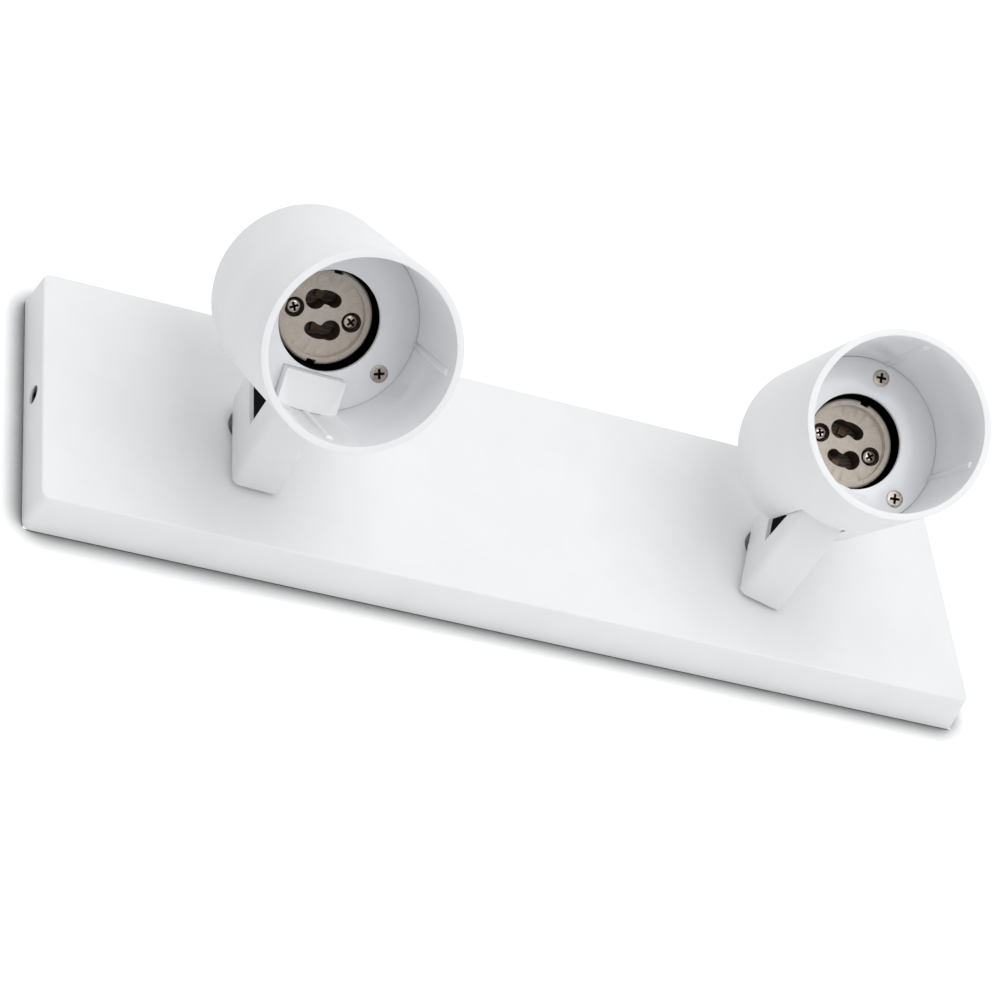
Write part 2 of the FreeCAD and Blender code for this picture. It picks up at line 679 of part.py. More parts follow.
def build_can(side_name, placement):
    """The cast tube: closed back, four bead ribs, three screw bosses and the tunnel for the arm."""
    body = new_body("%s_can" % side_name, placement)
    axis = d.can_axis_up
    rear = d.can_rear
    outer = new_sketch(body, "XZ_Plane", -rear)
    circle(outer, 0, axis, d.can_d, "dims.can_d")
    pad(body, outer, d.can_length, "dims.can_length")
    bore = new_sketch(body, "XZ_Plane", -rear + d.back_thick)
    circle(bore, 0, axis, d.can_inner_d, "dims.can_inner_d")
    pocket(body, bore, d.can_length + 5)

    ribs = new_sketch(body, "XZ_Plane", d.divider_ahead)
    for x, z in ring_points(4, d.can_inner_d / 2 + d.rib_r - d.rib_rise, 0.0):
        circle(ribs, x, z, 2 * d.rib_r, "2 * dims.rib_r")
    pad(body, ribs, d.rib_length, "dims.rib_length")

    boss_back = d.boss_front_ahead - d.boss_length
    bosses = new_sketch(body, "XZ_Plane", boss_back)
    far = (d.can_inner_d + d.can_d) / 4
    half = d.boss_r
    for x, z in ring_points(3, 1.0):
        ux, uz = x, z - axis
        outline(bosses, [(reach * ux - turn * half * uz, axis + reach * uz + turn * half * ux)
                         for reach, turn in ((d.screw_ring_r, 1), (d.screw_ring_r, -1), (far, -1), (far, 1))])
    pad(body, bosses, d.boss_length, "dims.boss_length")
    rounds = new_sketch(body, "XZ_Plane", boss_back)
    for x, z in ring_points(3, d.screw_ring_r):
        circle(rounds, x, z, 2 * d.boss_r, "2 * dims.boss_r")
    pad(body, rounds, d.boss_length, "dims.boss_length")

    inside_back = -rear + d.back_thick / 2
    posts = new_sketch(body, "XZ_Plane", inside_back)
    for side in (-1, 1):
        circle(posts, side * d.socket_screw_pitch / 2, axis, d.post_d, "dims.post_d")
    pad(body, posts, -d.socket_rear - inside_back)

    tunnel = new_sketch(body, "XZ_Plane", inside_back)
    foot_z = axis - math.sqrt(far ** 2 - (d.tunnel_width / 2) ** 2)
    rectangle(tunnel, 0, (foot_z + d.tunnel_top_up) / 2, d.tunnel_width, d.tunnel_top_up - foot_z,
              "dims.tunnel_width")
    pad(body, tunnel, d.tunnel_front_ahead - inside_back)
    opening = new_sketch(body, "XZ_Plane", -rear - 1)
    low = axis - d.can_d
    rectangle(opening, 0, (low + d.slot_top_up) / 2, d.slot_width, d.slot_top_up - low, "dims.slot_width")
    pocket(body, opening, rear + 1 + d.slot_front_ahead)

    screw_holes = new_sketch(body, "XZ_Plane", d.divider_ahead - d.screw_length - d.screw_end_gap)
    for x, z in ring_points(3, d.screw_ring_r):
        circle(screw_holes, x, z, d.screw_bore_d, "dims.screw_bore_d")
    pocket(body, screw_holes, d.screw_length + d.screw_end_gap)
    post_holes = new_sketch(body, "XZ_Plane", -rear + d.back_thick)
    for side in (-1, 1):
        circle(post_holes, side * d.socket_screw_pitch / 2, axis, d.screw_bore_d, "dims.screw_bore_d")
    pocket(body, post_holes, rear)
    pin_hole = new_sketch(body, "YZ_Plane")
    circle(pin_hole, 0, 0, d.can_pin_bore_d, "dims.can_pin_bore_d")
    pocket(body, pin_hole, d.tunnel_width + 0.4, both=True)
    lead_hole = new_sketch(body, "XY_Plane", d.slot_top_up - 1)
    slot(lead_hole, 0, d.lead_hole_back, d.lead_hole_length, d.lead_hole_width)
    pocket(body, lead_hole, d.tunnel_wall + 2)


def build_divider(side_name, placement):
    """The disc across the can, open in the middle for the lamp's base, with countersunk holes."""
    body = new_body("%s_divider" % side_name, placement)
    axis = d.can_axis_up
    front = -d.divider_ahead
    disc = new_sketch(body, "XZ_Plane", d.boss_front_ahead)
    circle(disc, 0, axis, d.can_inner_d - 2 * d.seat_fit, "dims.can_inner_d - 2 * dims.seat_fit")
    circle(disc, 0, axis, d.aperture_d, "dims.aperture_d")
    for x, z in ring_points(3, d.screw_ring_r):
        circle(disc, x, z, d.screw_clear_d, "dims.screw_clear_d")
    pad(body, disc, d.divider_thick, "dims.divider_thick")
    chamfer(body, d.screw_head_taper, lambda edge: is_arc(edge, d.screw_clear_d / 2) and flat_at(edge, "y", front))
    notch = new_sketch(body, "XZ_Plane", d.boss_front_ahead - 1)
    high = d.tunnel_top_up + d.seat_fit
    rectangle(notch, 0, high - d.can_inner_d / 4, d.tunnel_width + 2 * d.seat_fit, d.can_inner_d / 2)
    pocket(body, notch, d.divider_thick + 2)


def build_divider_screws(side_name, placement):
    """The three countersunk cross-head screws of the divider, flush with its front."""
    shapes = []
    face = -d.divider_ahead
    taper = d.screw_head_taper
    for index, (x, z) in enumerate(ring_points(3, d.screw_ring_r)):
        head = Part.makeCone(d.screw_head_d / 2, d.screw_d / 2, taper, Vector(x, face, z), Vector(0, 1, 0))
        shank = rod(x, z, face + taper, face + d.screw_length, d.screw_d / 2)
        cutter = cross_recess(x, face, z, 0.6 * d.screw_head_d, 0.15 * d.screw_head_d, taper)
        cutter.rotate(Vector(x, face, z), Vector(0, 1, 0), 20 + 35 * index)
        shapes.append(head.fuse(shank).removeSplitter().cut(cutter))
    solids("%s_divider_screws" % side_name, shapes, placement)


def build_tilt_pin(side_name, placement):
    """The pin the head tilts on, pressed into the tunnel's side walls."""
    half = d.tunnel_width / 2
    solids("%s_tilt_pin" % side_name, [rod_x(0, 0, -half, half, d.pin_d / 2)], placement)


# ---------------------------------------------------------------- lampholder
def keyhole_starts():
    """Angle of each keyhole's wide end round the can's axis, in degrees."""
    return (d.keyhole_start, d.keyhole_start + 180.0)


def keyhole_cutter(start_deg, front, depth):
    """A bean-shaped hole: a wide round end and a narrower arc that the lamp's pin turns into."""
    radius = d.pin_pitch / 2
    axis = d.can_axis_up
    half_slot = d.keyhole_slot / 2
    start = math.radians(start_deg)
    end = math.radians(start_deg - d.keyhole_sweep)
    wide = rod(radius * math.cos(start), axis + radius * math.sin(start), front, front + depth, d.keyhole_d / 2)
    tip = rod(radius * math.cos(end), axis + radius * math.sin(end), front, front + depth, half_slot)
    ring = rod(0, axis, front, front + depth, radius + half_slot)
    ring = ring.cut(rod(0, axis, front, front + depth, radius - half_slot))
    reach = 4 * radius
    corners = [Vector(0, front, axis)]
    corners += [Vector(reach * math.cos(turn), front, axis + reach * math.sin(turn))
                for turn in (end, (start + end) / 2, start)]
    sector = Part.Face(Part.makePolygon(corners + corners[:1])).extrude(Vector(0, depth, 0))
    return wide.fuse([tip, ring.common(sector)]).removeSplitter()


def build_socket(side_name, placement):
    """The ceramic lampholder: a raised lip round a recessed face with two bean-shaped keyholes."""
    axis = d.can_axis_up
    front = -d.socket_front_ahead
    floor = -d.socket_floor_ahead
    rear = d.socket_rear
    radius = d.socket_d / 2
    whole = rod(0, axis, front, rear, radius)
    whole = whole.makeChamfer(d.socket_edge,
                              [e for e in whole.Edges if is_arc(e, radius) and flat_at(e, "y", front)])
    whole = whole.cut(rod(0, axis, front - 1, floor, radius - d.socket_lip))
    depth = d.socket_groove_depth
    for side in (-1, 1):
        x = side * d.socket_screw_pitch / 2
        whole = whole.cut(rod(x, axis, front - 1, floor + d.socket_screw_sink, d.socket_well_d / 2))
        whole = whole.cut(rod(x, axis, front - 1, rear + 1, d.screw_clear_d / 2))
        bottom = radius - depth if side > 0 else -radius - depth
        whole = whole.cut(Part.makeBox(d.socket_groove, d.socket_length + 2, 2 * depth,
                                       Vector(-d.socket_groove / 2, front - 1, axis + bottom)))
    for start in keyhole_starts():
        whole = whole.cut(keyhole_cutter(start, floor - 0.5, d.keyhole_depth + 0.5))
    solids("%s_socket" % side_name, [whole], placement)


def build_socket_contacts(side_name, placement):
    """The two sprung contacts at the bottom of the keyholes."""
    shapes = []
    bottom = d.keyhole_depth - d.socket_floor_ahead
    radius = d.pin_pitch / 2
    half = d.contact / 2
    for start in keyhole_starts():
        angle = math.radians(start - d.keyhole_sweep / 2)
        x, z = radius * math.cos(angle), d.can_axis_up + radius * math.sin(angle)
        shapes.append(Part.makeBox(d.contact, d.contact_thick, d.contact,
                                   Vector(x - half, bottom - d.contact_thick, z - half)))
    solids("%s_socket_contacts" % side_name, shapes, placement)


def build_socket_screws(side_name, placement):
    """The two cross-head screws that hold the lampholder to the can's posts."""
    shapes = []
    seat = d.socket_screw_sink - d.socket_floor_ahead
    top = seat - d.socket_screw_head
    end = (d.socket_rear + d.can_rear - d.back_thick) / 2
    z = d.can_axis_up
    for index, side in enumerate((-1, 1)):
        x = side * d.socket_screw_pitch / 2
        head = rod(x, z, top, seat, d.socket_screw_head_d / 2)
        screw = head.fuse(rod(x, z, seat, end, d.screw_d / 2)).removeSplitter()
        cutter = cross_recess(x, top, z, 0.65 * d.socket_screw_head_d, 0.8, 1.1)
        cutter.rotate(Vector(x, top, z), Vector(0, 1, 0), 30 + 25 * index)
        shapes.append(screw.cut(cutter))
    solids("%s_socket_screws" % side_name, shapes, placement)


def build_lead(label, side, placement):
    """One lampholder lead, from the lampholder's back to the tunnel's top."""
    start = Vector(side * d.lead_spread_top, d.socket_rear + d.lead_d / 2, d.can_axis_up - d.lead_from_axis)
    end = Vector(side * d.lead_spread_low, d.lead_hole_back, d.slot_top_up - d.tunnel_wall)
    route = end - start
    solids(label, [Part.makeCylinder(d.lead_d / 2, route.Length, start, route)], placement)


# ---------------------------------------------------------------- assembly
def arm_placement(side, swivel):
    """Where the arm frame lies."""
    return Placement(Vector(side * d.pivot_x, -d.plate_depth, 0), Rotation(Vector(0, 1, 0), swivel))


def head_placement(side, swivel, tilt):
    """Where the head frame lies: on the arm's tilt axis, nose down by the tilt."""
    on_arm = Placement(Vector(0, *arm_point(d.pin_out, d.pin_up)), Rotation(Vector(1, 0, 0), tilt))
    return arm_placement(side, swivel).multiply(on_arm)


def build_side(name, side, swivel, tilt):
    """Everything that moves on one side: the arm and the lamp head."""
    at_arm = arm_placement(side, swivel)
    build_arm(name, at_arm)
    build_arm_liner(name, at_arm)
    at_head = head_placement(side, swivel, tilt)
    build_can(name, at_head)
    build_divider(name, at_head)
    build_divider_screws(name, at_head)
    build_tilt_pin(name, at_head)
    build_socket(name, at_head)
    build_socket_contacts(name, at_head)
    build_socket_screws(name, at_head)
    build_lead("%s_lead_neutral" % name, -1, at_head)
    build_lead("%s_lead_live" % name, 1, at_head)


def check_and_export():
    """Refuse any feature in error or any bad solid, then write one file per node."""
    doc.recompute()
    for thing in doc.Objects:
        if "Invalid" in thing.State or "Error" in thing.State:
            raise ValueError("%s is in error: %s" % (thing.Label, thing.State))
    os.makedirs(OUT_DIR, exist_ok=True)
    for node in nodes:
        shape = node.Shape
        if shape.isNull() or not shape.isValid() or not shape.Solids:
            raise ValueError("%s has no valid solid" % node.Label)
        shape.exportStep(os.path.join(OUT_DIR, "%s.step" % node.Label))
        box = shape.BoundBox
        print("%-26s %2d solids %9.1f mm3  x %7.1f %7.1f  y %6.1f %6.1f  z %6.1f %6.1f" % (
            node.Label, len(shape.Solids), shape.Volume, box.XMin, box.XMax, box.YMin, box.YMax,
            box.ZMin, box.ZMax))


build_cover_plate()
build_wall_bracket()
build_grommet()
build_terminal_block()
build_earth_screw()
build_cover_screws()
build_swivels()
for side_row in SIDES:
    build_side(*side_row)
check_and_export()
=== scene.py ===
"""Dresses the twin spotlight wall light: finishes, eased edges, screws, wall, lamps and camera.

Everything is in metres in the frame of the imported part: the wall is the plane y = 0, the light
stands out of it towards -Y, +X runs along the plate and +Z is up. Sizes in the classes are in
millimetres where a name ends in _mm, and in metres elsewhere.
"""

import json
import logging
import math
from dataclasses import dataclass
from enum import Enum
from typing import Callable, ClassVar, Dict, Iterable, List, Optional, Sequence, Tuple

import bmesh
import bpy
from mathutils import Matrix, Vector

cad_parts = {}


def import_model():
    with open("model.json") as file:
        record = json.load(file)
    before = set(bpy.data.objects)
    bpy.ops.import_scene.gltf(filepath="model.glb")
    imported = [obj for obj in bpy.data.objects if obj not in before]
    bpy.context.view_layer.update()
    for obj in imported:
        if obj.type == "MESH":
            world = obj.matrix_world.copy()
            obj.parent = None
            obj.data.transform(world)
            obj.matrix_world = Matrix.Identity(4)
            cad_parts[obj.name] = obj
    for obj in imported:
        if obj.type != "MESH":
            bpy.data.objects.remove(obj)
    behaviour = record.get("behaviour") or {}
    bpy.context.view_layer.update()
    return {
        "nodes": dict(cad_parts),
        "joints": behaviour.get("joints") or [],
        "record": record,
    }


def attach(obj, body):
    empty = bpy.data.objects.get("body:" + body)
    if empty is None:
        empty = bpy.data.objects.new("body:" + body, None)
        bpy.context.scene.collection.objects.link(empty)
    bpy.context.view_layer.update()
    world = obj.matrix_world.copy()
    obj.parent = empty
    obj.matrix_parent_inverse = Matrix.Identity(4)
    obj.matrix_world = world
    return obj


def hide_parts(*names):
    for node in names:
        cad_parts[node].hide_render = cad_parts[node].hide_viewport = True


LOG = logging.getLogger("wall_light")
MM = 0.001
CAN_AXIS_UP_MM = 21.8  # height of a can's axis above its tilt axis
ON_PLANE = 1e-7  # how near a cutting plane a point counts as on it

Colour = Tuple[float, float, float]
Shade = Tuple[float, float, float, float]
Edging = Tuple[float, int, Callable[[Vector], bool]]
Socket = bpy.types.NodeSocket
Piece = bpy.types.Object
Material = bpy.types.Material
Mesh = bpy.types.Mesh
Shell = bmesh.types.BMesh

BLACK: Shade = (0.0, 0.0, 0.0, 1.0)
WHITE: Shade = (1.0, 1.0, 1.0, 1.0)
PALE: Shade = (0.8, 0.8, 0.8, 1.0)


class Side(Enum):
    """The two ends of the plate that carry a lamp head."""

    LEFT = "left"
    RIGHT = "right"


class Body(Enum):
    """The moving bodies that pieces ride on, one of each at either end."""

    ARM = "arm_body"
    HEAD = "head_body"

    def of(self, side: Side) -> str:
        """Name of this body on one side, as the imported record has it."""
        return f"{side.value}_{self.value}"


def linear(colour: Colour) -> Shade:
    """Turns a display colour into the linear one that shaders take.

    Args:
        colour: red, green and blue as seen on a display, 0 to 1.

    Returns:
        Linear red, green, blue and an alpha of 1.
    """
    out = [c / 12.92 if c <= 0.04045 else ((c + 0.055) / 1.055) ** 2.4 for c in colour]
    return (out[0], out[1], out[2], 1.0)


# ------------------------------------------------------------------ shader helpers
class ShaderTree:
    """A short way to add and join the shader nodes of a material or a world."""

    def __init__(self, owner: bpy.types.ID, ending: str = "ShaderNodeOutputMaterial") -> None:
        """Empties the owner's tree down to its output.

        Args:
            owner: the new material or world.
            ending: Blender's type of its output node.
        """
        owner.use_nodes = True
        self.tree = owner.node_tree
        self.tree.nodes.clear()
        self.output = self.add(ending)

    def add(self, kind: str, **inputs: object) -> bpy.types.Node:
        """Adds a node and sets its inputs by name.

        Args:
            kind: Blender's node type.
            **inputs: input names, with spaces written as underscores, and their values.

        Returns:
            The new node.
        """
        node = self.tree.nodes.new(kind)
        for key, value in inputs.items():
            node.inputs[key.replace("_", " ")].default_value = value
        return node

    def join(self, source: Socket, target: Socket) -> None:
        """Joins an output to an input."""
        self.tree.links.new(source, target)

    def compute(self, operation: str, first: Socket, second: Socket) -> Socket:
        """Adds a sum of two values.

        Args:
            operation: what to do with them.
            first: the first value.
            second: the second value.

        Returns:
            The result.
        """
        node = self.add("ShaderNodeMath")
        node.operation = operation
        self.join(first, node.inputs[0])
        self.join(second, node.inputs[1])
        return node.outputs[0]

    def finish(self, mask: Socket, low: bpy.types.Node, high: bpy.types.Node) -> None:
        """Ends the tree with one of two shaders.

        Args:
            mask: 0 for the first shader and 1 for the second.
            low: the first shader.
            high: the second shader.
        """
        node = self.add("ShaderNodeMixShader")
        for source, target in zip((mask, low.outputs[0], high.outputs[0]), node.inputs):
            self.join(source, target)
        self.join(node.outputs[0], self.output.inputs["Surface"])

    def coordinates(self) -> Socket:
        """Object coordinates, in metres."""
        return self.add("ShaderNodeTexCoord").outputs["Object"]

    def noise(self, scale: float, detail: float = 3.0, roughness: float = 0.55) -> Socket:
        """A noise value over the object.

        Args:
            scale: cells in a metre.
            detail: octaves.
            roughness: share that each octave keeps.

        Returns:
            The noise's value socket.
        """
        node = self.add("ShaderNodeTexNoise", Scale=scale, Detail=detail, Roughness=roughness)
        self.join(self.coordinates(), node.inputs["Vector"])
        return node.outputs["Fac"]

    def ramp(self, value: Socket, low: Sequence[float], high: Sequence[float],
             start: float = 0.35, end: float = 0.65) -> Socket:
        """Maps a value to a colour between two ends.

        Args:
            value: the socket to map.
            low: colour at and below start.
            high: colour at and above end.
            start: value of the low colour.
            end: value of the high colour.

        Returns:
            The colour socket.
        """
        node = self.add("ShaderNodeValToRGB")
        node.color_ramp.elements[0].position = start
        node.color_ramp.elements[0].color = tuple(low)
        node.color_ramp.elements[1].position = end
        node.color_ramp.elements[1].color = tuple(high)
        self.join(value, node.inputs["Fac"])
        return node.outputs["Color"]

    def span(self, value: Socket, low: float, high: float) -> Socket:
        """Maps a 0 to 1 value to a range.

        Args:
            value: the socket to map.
            low: result at 0.
            high: result at 1.

        Returns:
            The mapped value socket.
        """
        node = self.add("ShaderNodeMapRange")
        node.inputs["To Min"].default_value = low
        node.inputs["To Max"].default_value = high
        self.join(value, node.inputs["Value"])
        return node.outputs["Result"]

    def blend(self, mask: Socket, base: Socket, over: Sequence[float]) -> Socket:
        """Lays a colour over another where a mask is white.

        Args:
            mask: where the colour goes.
            base: the colour below.
            over: the colour on top.

        Returns:
            The mixed colour.
        """
        node = self.add("ShaderNodeMix")
        node.data_type = "RGBA"
        colours = [socket for socket in node.inputs if socket.type == "RGBA"]
        self.join(mask, node.inputs[0])
        self.join(base, colours[0])
        colours[1].default_value = tuple(over)
        return next(socket for socket in node.outputs if socket.type == "RGBA")

    def bump(self, height: Socket, strength: float, distance_mm: float) -> Socket:
        """Turns a height into a normal.

        Args:
            height: the height socket.
            strength: share of the effect.
            distance_mm: height of a full step in millimetres.

        Returns:
            The normal socket.
        """
        node = self.add("ShaderNodeBump", Strength=strength, Distance=distance_mm * MM)
        self.join(height, node.inputs["Height"])
        return node.outputs["Normal"]


@dataclass(frozen=True)
class Finish:
    """A surface finish: colour and gloss with a little drift, and a fine relief."""

    colour: Colour
    drift: float = 0.02
    drift_scale: float = 60.0
    metallic: float = 0.0
    roughness: Tuple[float, float] = (0.4, 0.5)
    roughness_scale: float = 400.0
    relief_scale: float = 1500.0
    relief_mm: float = 0.02
    relief_strength: float = 0.3
    specular: float = 0.5
    mark: Colour = (0.0, 0.0, 0.0)

    def build(self, name: str) -> Material:
        """Makes the material.

        Args:
            name: the material's name.

        Returns:
            The new material.
        """
        material = bpy.data.materials.new(name)
        tree = ShaderTree(material)
        shader = tree.add("ShaderNodeBsdfPrincipled", Metallic=self.metallic)
        shader.inputs["Specular IOR Level"].default_value = self.specular
        low = linear(tuple(max(0.0, c - self.drift) for c in self.colour))
        high = linear(tuple(min(1.0, c + self.drift) for c in self.colour))
        colour = tree.ramp(tree.noise(self.drift_scale), low, high)
        marks = self.marks(tree)
        if marks is not None:
            colour = tree.blend(marks, colour, linear(self.mark))
        tree.join(colour, shader.inputs["Base Color"])
        gloss = tree.span(tree.noise(self.roughness_scale), *self.roughness)
        tree.join(gloss, shader.inputs["Roughness"])
        height = tree.noise(self.relief_scale, detail=2.0)
        tree.join(tree.bump(height, self.relief_strength, self.relief_mm), shader.inputs["Normal"])
        tree.join(shader.outputs["BSDF"], tree.output.inputs["Surface"])
        return material

    def marks(self, tree: ShaderTree) -> Optional[Socket]:
        """Where the marks of this kind of finish lie. A plain finish has none."""
        return None


@dataclass(frozen=True)
class Fired(Finish):
    """Unglazed fired clay: fine specks on a drifting ground."""

    mark: Colour = (0.6, 0.57, 0.53)
    speck_scale: float = 3200.0
    speck_band: Tuple[float, float] = (0.62, 0.74)

    def marks(self, tree: ShaderTree) -> Socket:
        """Where the darker specks lie."""
        return tree.ramp(tree.noise(self.speck_scale, detail=1.0), BLACK, WHITE, *self.speck_band)


@dataclass(frozen=True)
class HoleShade(Finish):
    """Dark painted shade for the insides of holes, with fine paler lines across it."""

    mark: Colour = (0.42, 0.33, 0.26)
    lines: float = 330.0
    line_band: Tuple[float, float] = (0.55, 0.95)

    def marks(self, tree: ShaderTree) -> Socket:
        """Where the lines lie, a little uneven.

        Args:
            tree: the material's tree.

        Returns:
            The mask of the lines.
        """
        wave = tree.add("ShaderNodeTexWave", Scale=self.lines, Distortion=2.5, Detail=3.0)
        wave.bands_direction = "Z"
        tree.join(tree.coordinates(), wave.inputs["Vector"])
        return tree.ramp(wave.outputs["Fac"], BLACK, PALE, *self.line_band)


@dataclass(frozen=True)
class Turned(Finish):
    """Machined or plated metal: tarnish gathers in soft patches."""

    mark: Colour = (0.3, 0.27, 0.24)
    patch_scale: float = 700.0
    patch_band: Tuple[float, float] = (0.52, 0.72)

    def marks(self, tree: ShaderTree) -> Socket:
        """Where the tarnish lies."""
        return tree.ramp(tree.noise(self.patch_scale, detail=4.0), BLACK, PALE, *self.patch_band)


class FinishName(Enum):
    """Every finish of the light."""

    WHITE_COAT = "white_coat"
    CAN_INSIDE = "can_inside"
    CHAMBER = "chamber"
    CERAMIC = "ceramic"
    KEYHOLE = "keyhole"
    ZINC = "zinc"
    GREY_ZINC = "grey_zinc"
    SCREW = "screw"
    SCREW_RECESS = "screw_recess"
    SOCKET_SCREW = "socket_screw"
    BLACK_OXIDE = "black_oxide"
    BLACK_MOULDING = "black_moulding"
    RUBBER = "rubber"
    CREAM_MOULDING = "cream_moulding"
    GREY_MOULDING = "grey_moulding"
    BRASS = "brass"
    BRONZE = "bronze"
    BLUE_LEAD = "blue_lead"
    BROWN_LEAD = "brown_lead"


FINISHES: Dict[FinishName, Finish] = {
    FinishName.WHITE_COAT: Finish(
        (0.95, 0.95, 0.952), drift=0.005, roughness=(0.4, 0.52), relief_scale=1300.0,
        relief_mm=0.03, relief_strength=0.2, specular=0.35),
    # Glossier inside paint, made paler than the outer coat as painted light for the bright mouth.
    FinishName.CAN_INSIDE: Finish(
        (0.97, 0.973, 0.98), drift=0.004, roughness=(0.16, 0.26), relief_scale=900.0,
        relief_strength=0.12),
    # Near-black painted shade for the unlit chamber behind the divider.
    FinishName.CHAMBER: Finish(
        (0.035, 0.035, 0.035), drift=0.01, roughness=(0.7, 0.85), specular=0.1),
    FinishName.CERAMIC: Fired(
        (0.86, 0.815, 0.765), drift_scale=420.0, roughness=(0.38, 0.55), relief_scale=2400.0,
        relief_mm=0.03, mark=(0.7, 0.66, 0.61)),
    # Dark painted shade for the insides of the lampholder's keyholes and screw wells.
    FinishName.KEYHOLE: HoleShade(
        (0.26, 0.21, 0.175), drift=0.06, drift_scale=900.0, roughness=(0.4, 0.6),
        relief_scale=1800.0, relief_mm=0.1, specular=0.4),
    FinishName.ZINC: Turned(
        (0.74, 0.75, 0.76), drift=0.03, drift_scale=180.0, metallic=1.0,
        roughness=(0.28, 0.42), relief_mm=0.01, mark=(0.5, 0.5, 0.5)),
    FinishName.GREY_ZINC: Turned(
        (0.42, 0.41, 0.4), drift=0.04, drift_scale=300.0, metallic=0.9, roughness=(0.35, 0.5)),
    FinishName.SCREW: Turned(
        (0.72, 0.68, 0.65), drift=0.04, drift_scale=900.0, metallic=0.85, roughness=(0.3, 0.45),
        relief_scale=3000.0, mark=(0.5, 0.45, 0.42), patch_scale=1100.0),
    # Dark painted shade for the screws' cross recesses.
    FinishName.SCREW_RECESS: Finish(
        (0.1, 0.09, 0.08), drift=0.03, drift_scale=900.0, metallic=0.6, roughness=(0.5, 0.7)),
    FinishName.SOCKET_SCREW: Turned(
        (0.66, 0.62, 0.59), drift=0.06, drift_scale=900.0, metallic=1.0, roughness=(0.12, 0.24),
        relief_scale=2500.0, mark=(0.22, 0.18, 0.16), patch_scale=900.0),
    FinishName.BLACK_OXIDE: Finish(
        (0.03, 0.03, 0.03), drift=0.01, metallic=0.4, roughness=(0.4, 0.55)),
    # Near-black painted shade for the liner that fills the dark notch of each arm.
    FinishName.BLACK_MOULDING: Finish(
        (0.02, 0.02, 0.022), drift=0.008, roughness=(0.6, 0.75), relief_scale=2500.0,
        relief_mm=0.04, specular=0.08),
    FinishName.RUBBER: Finish((0.09, 0.09, 0.09), drift=0.01, roughness=(0.7, 0.85)),
    FinishName.CREAM_MOULDING: Finish((0.9, 0.89, 0.84), drift=0.01, roughness=(0.35, 0.45)),
    FinishName.GREY_MOULDING: Finish((0.5, 0.5, 0.51), drift=0.01, roughness=(0.35, 0.45)),
    FinishName.BRASS: Turned(
        (0.82, 0.68, 0.38), drift=0.04, drift_scale=500.0, metallic=1.0,
        roughness=(0.22, 0.36), mark=(0.5, 0.36, 0.2)),
    FinishName.BRONZE: Turned(
        (0.3, 0.24, 0.17), drift=0.04, drift_scale=700.0, metallic=0.9,
        roughness=(0.35, 0.5), mark=(0.1, 0.08, 0.06)),
    FinishName.BLUE_LEAD: Finish((0.1, 0.17, 0.36), roughness=(0.3, 0.4)),
    FinishName.BROWN_LEAD: Finish((0.32, 0.2, 0.13), roughness=(0.3, 0.4)),
}


class Paintbox:
    """Builds each finish once and puts it on pieces."""

    def __init__(self) -> None:
        """Starts with no finish built."""
        self.built: Dict[FinishName, Material] = {}

    def get(self, name: FinishName) -> Material:
        """A finish as a material.

        Args:
            name: which finish.

        Returns:
            The material, the same one each time.
        """
        if name not in self.built:
            self.built[name] = FINISHES[name].build(name.value)
        return self.built[name]

    def coat(self, piece: Piece, name: FinishName) -> None:
        """Gives a piece one finish all over."""
        piece.data.materials.clear()
        piece.data.materials.append(self.get(name))


# ------------------------------------------------------------------ mesh helpers
def add_object(name: str, mesh: Mesh) -> Piece:
    """Puts a mesh in the scene.

    Args:
        name: the new object's name.
        mesh: its mesh.

    Returns:
        The new object.
    """
    piece = bpy.data.objects.new(name, mesh)
    bpy.context.scene.collection.objects.link(piece)
    return piece


def store(shell: Shell, mesh: Mesh) -> Mesh:
    """Writes an edited shell into a mesh and lets go of the shell.

    Args:
        shell: the shell, which can't be used afterwards.
        mesh: the mesh to fill.

    Returns:
        The filled mesh.
    """
    shell.to_mesh(mesh)
    shell.free()
    return mesh


def open_shell(mesh: Mesh) -> Shell:
    """Opens a mesh for editing.

    Args:
        mesh: the mesh to read.

    Returns:
        A shell with its points, edges and faces.
    """
    shell = bmesh.new()
    shell.from_mesh(mesh)
    return shell


def freeze(piece: Piece, name: str) -> Mesh:
    """Turns an object with its modifiers into one plain mesh.

    Args:
        piece: the object to read.
        name: name of the new mesh.

    Returns:
        The plain mesh.
    """
    bpy.context.view_layer.update()
    graph = bpy.context.evaluated_depsgraph_get()
    mesh = bpy.data.meshes.new_from_object(piece.evaluated_get(graph))
    mesh.name = name
    return mesh


def merged_copy(node: Piece, name: str, merge_mm: float = 0.001, flat_deg: float = 0.5) -> Piece:
    """Copies a node's loose triangles into a joined mesh.

    Args:
        node: the node to copy.
        name: the copy's name.
        merge_mm: how near two points are to be one.
        flat_deg: triangles that lean less than this against each other become one face.

    Returns:
        The copy, in the same place.
    """
    shell = open_shell(node.data)
    bmesh.ops.remove_doubles(shell, verts=shell.verts, dist=merge_mm * MM)
    bmesh.ops.join_triangles(shell, faces=shell.faces, angle_face_threshold=math.radians(flat_deg),
                             angle_shape_threshold=math.pi)
    return add_object(name, store(shell, bpy.data.meshes.new(name)))


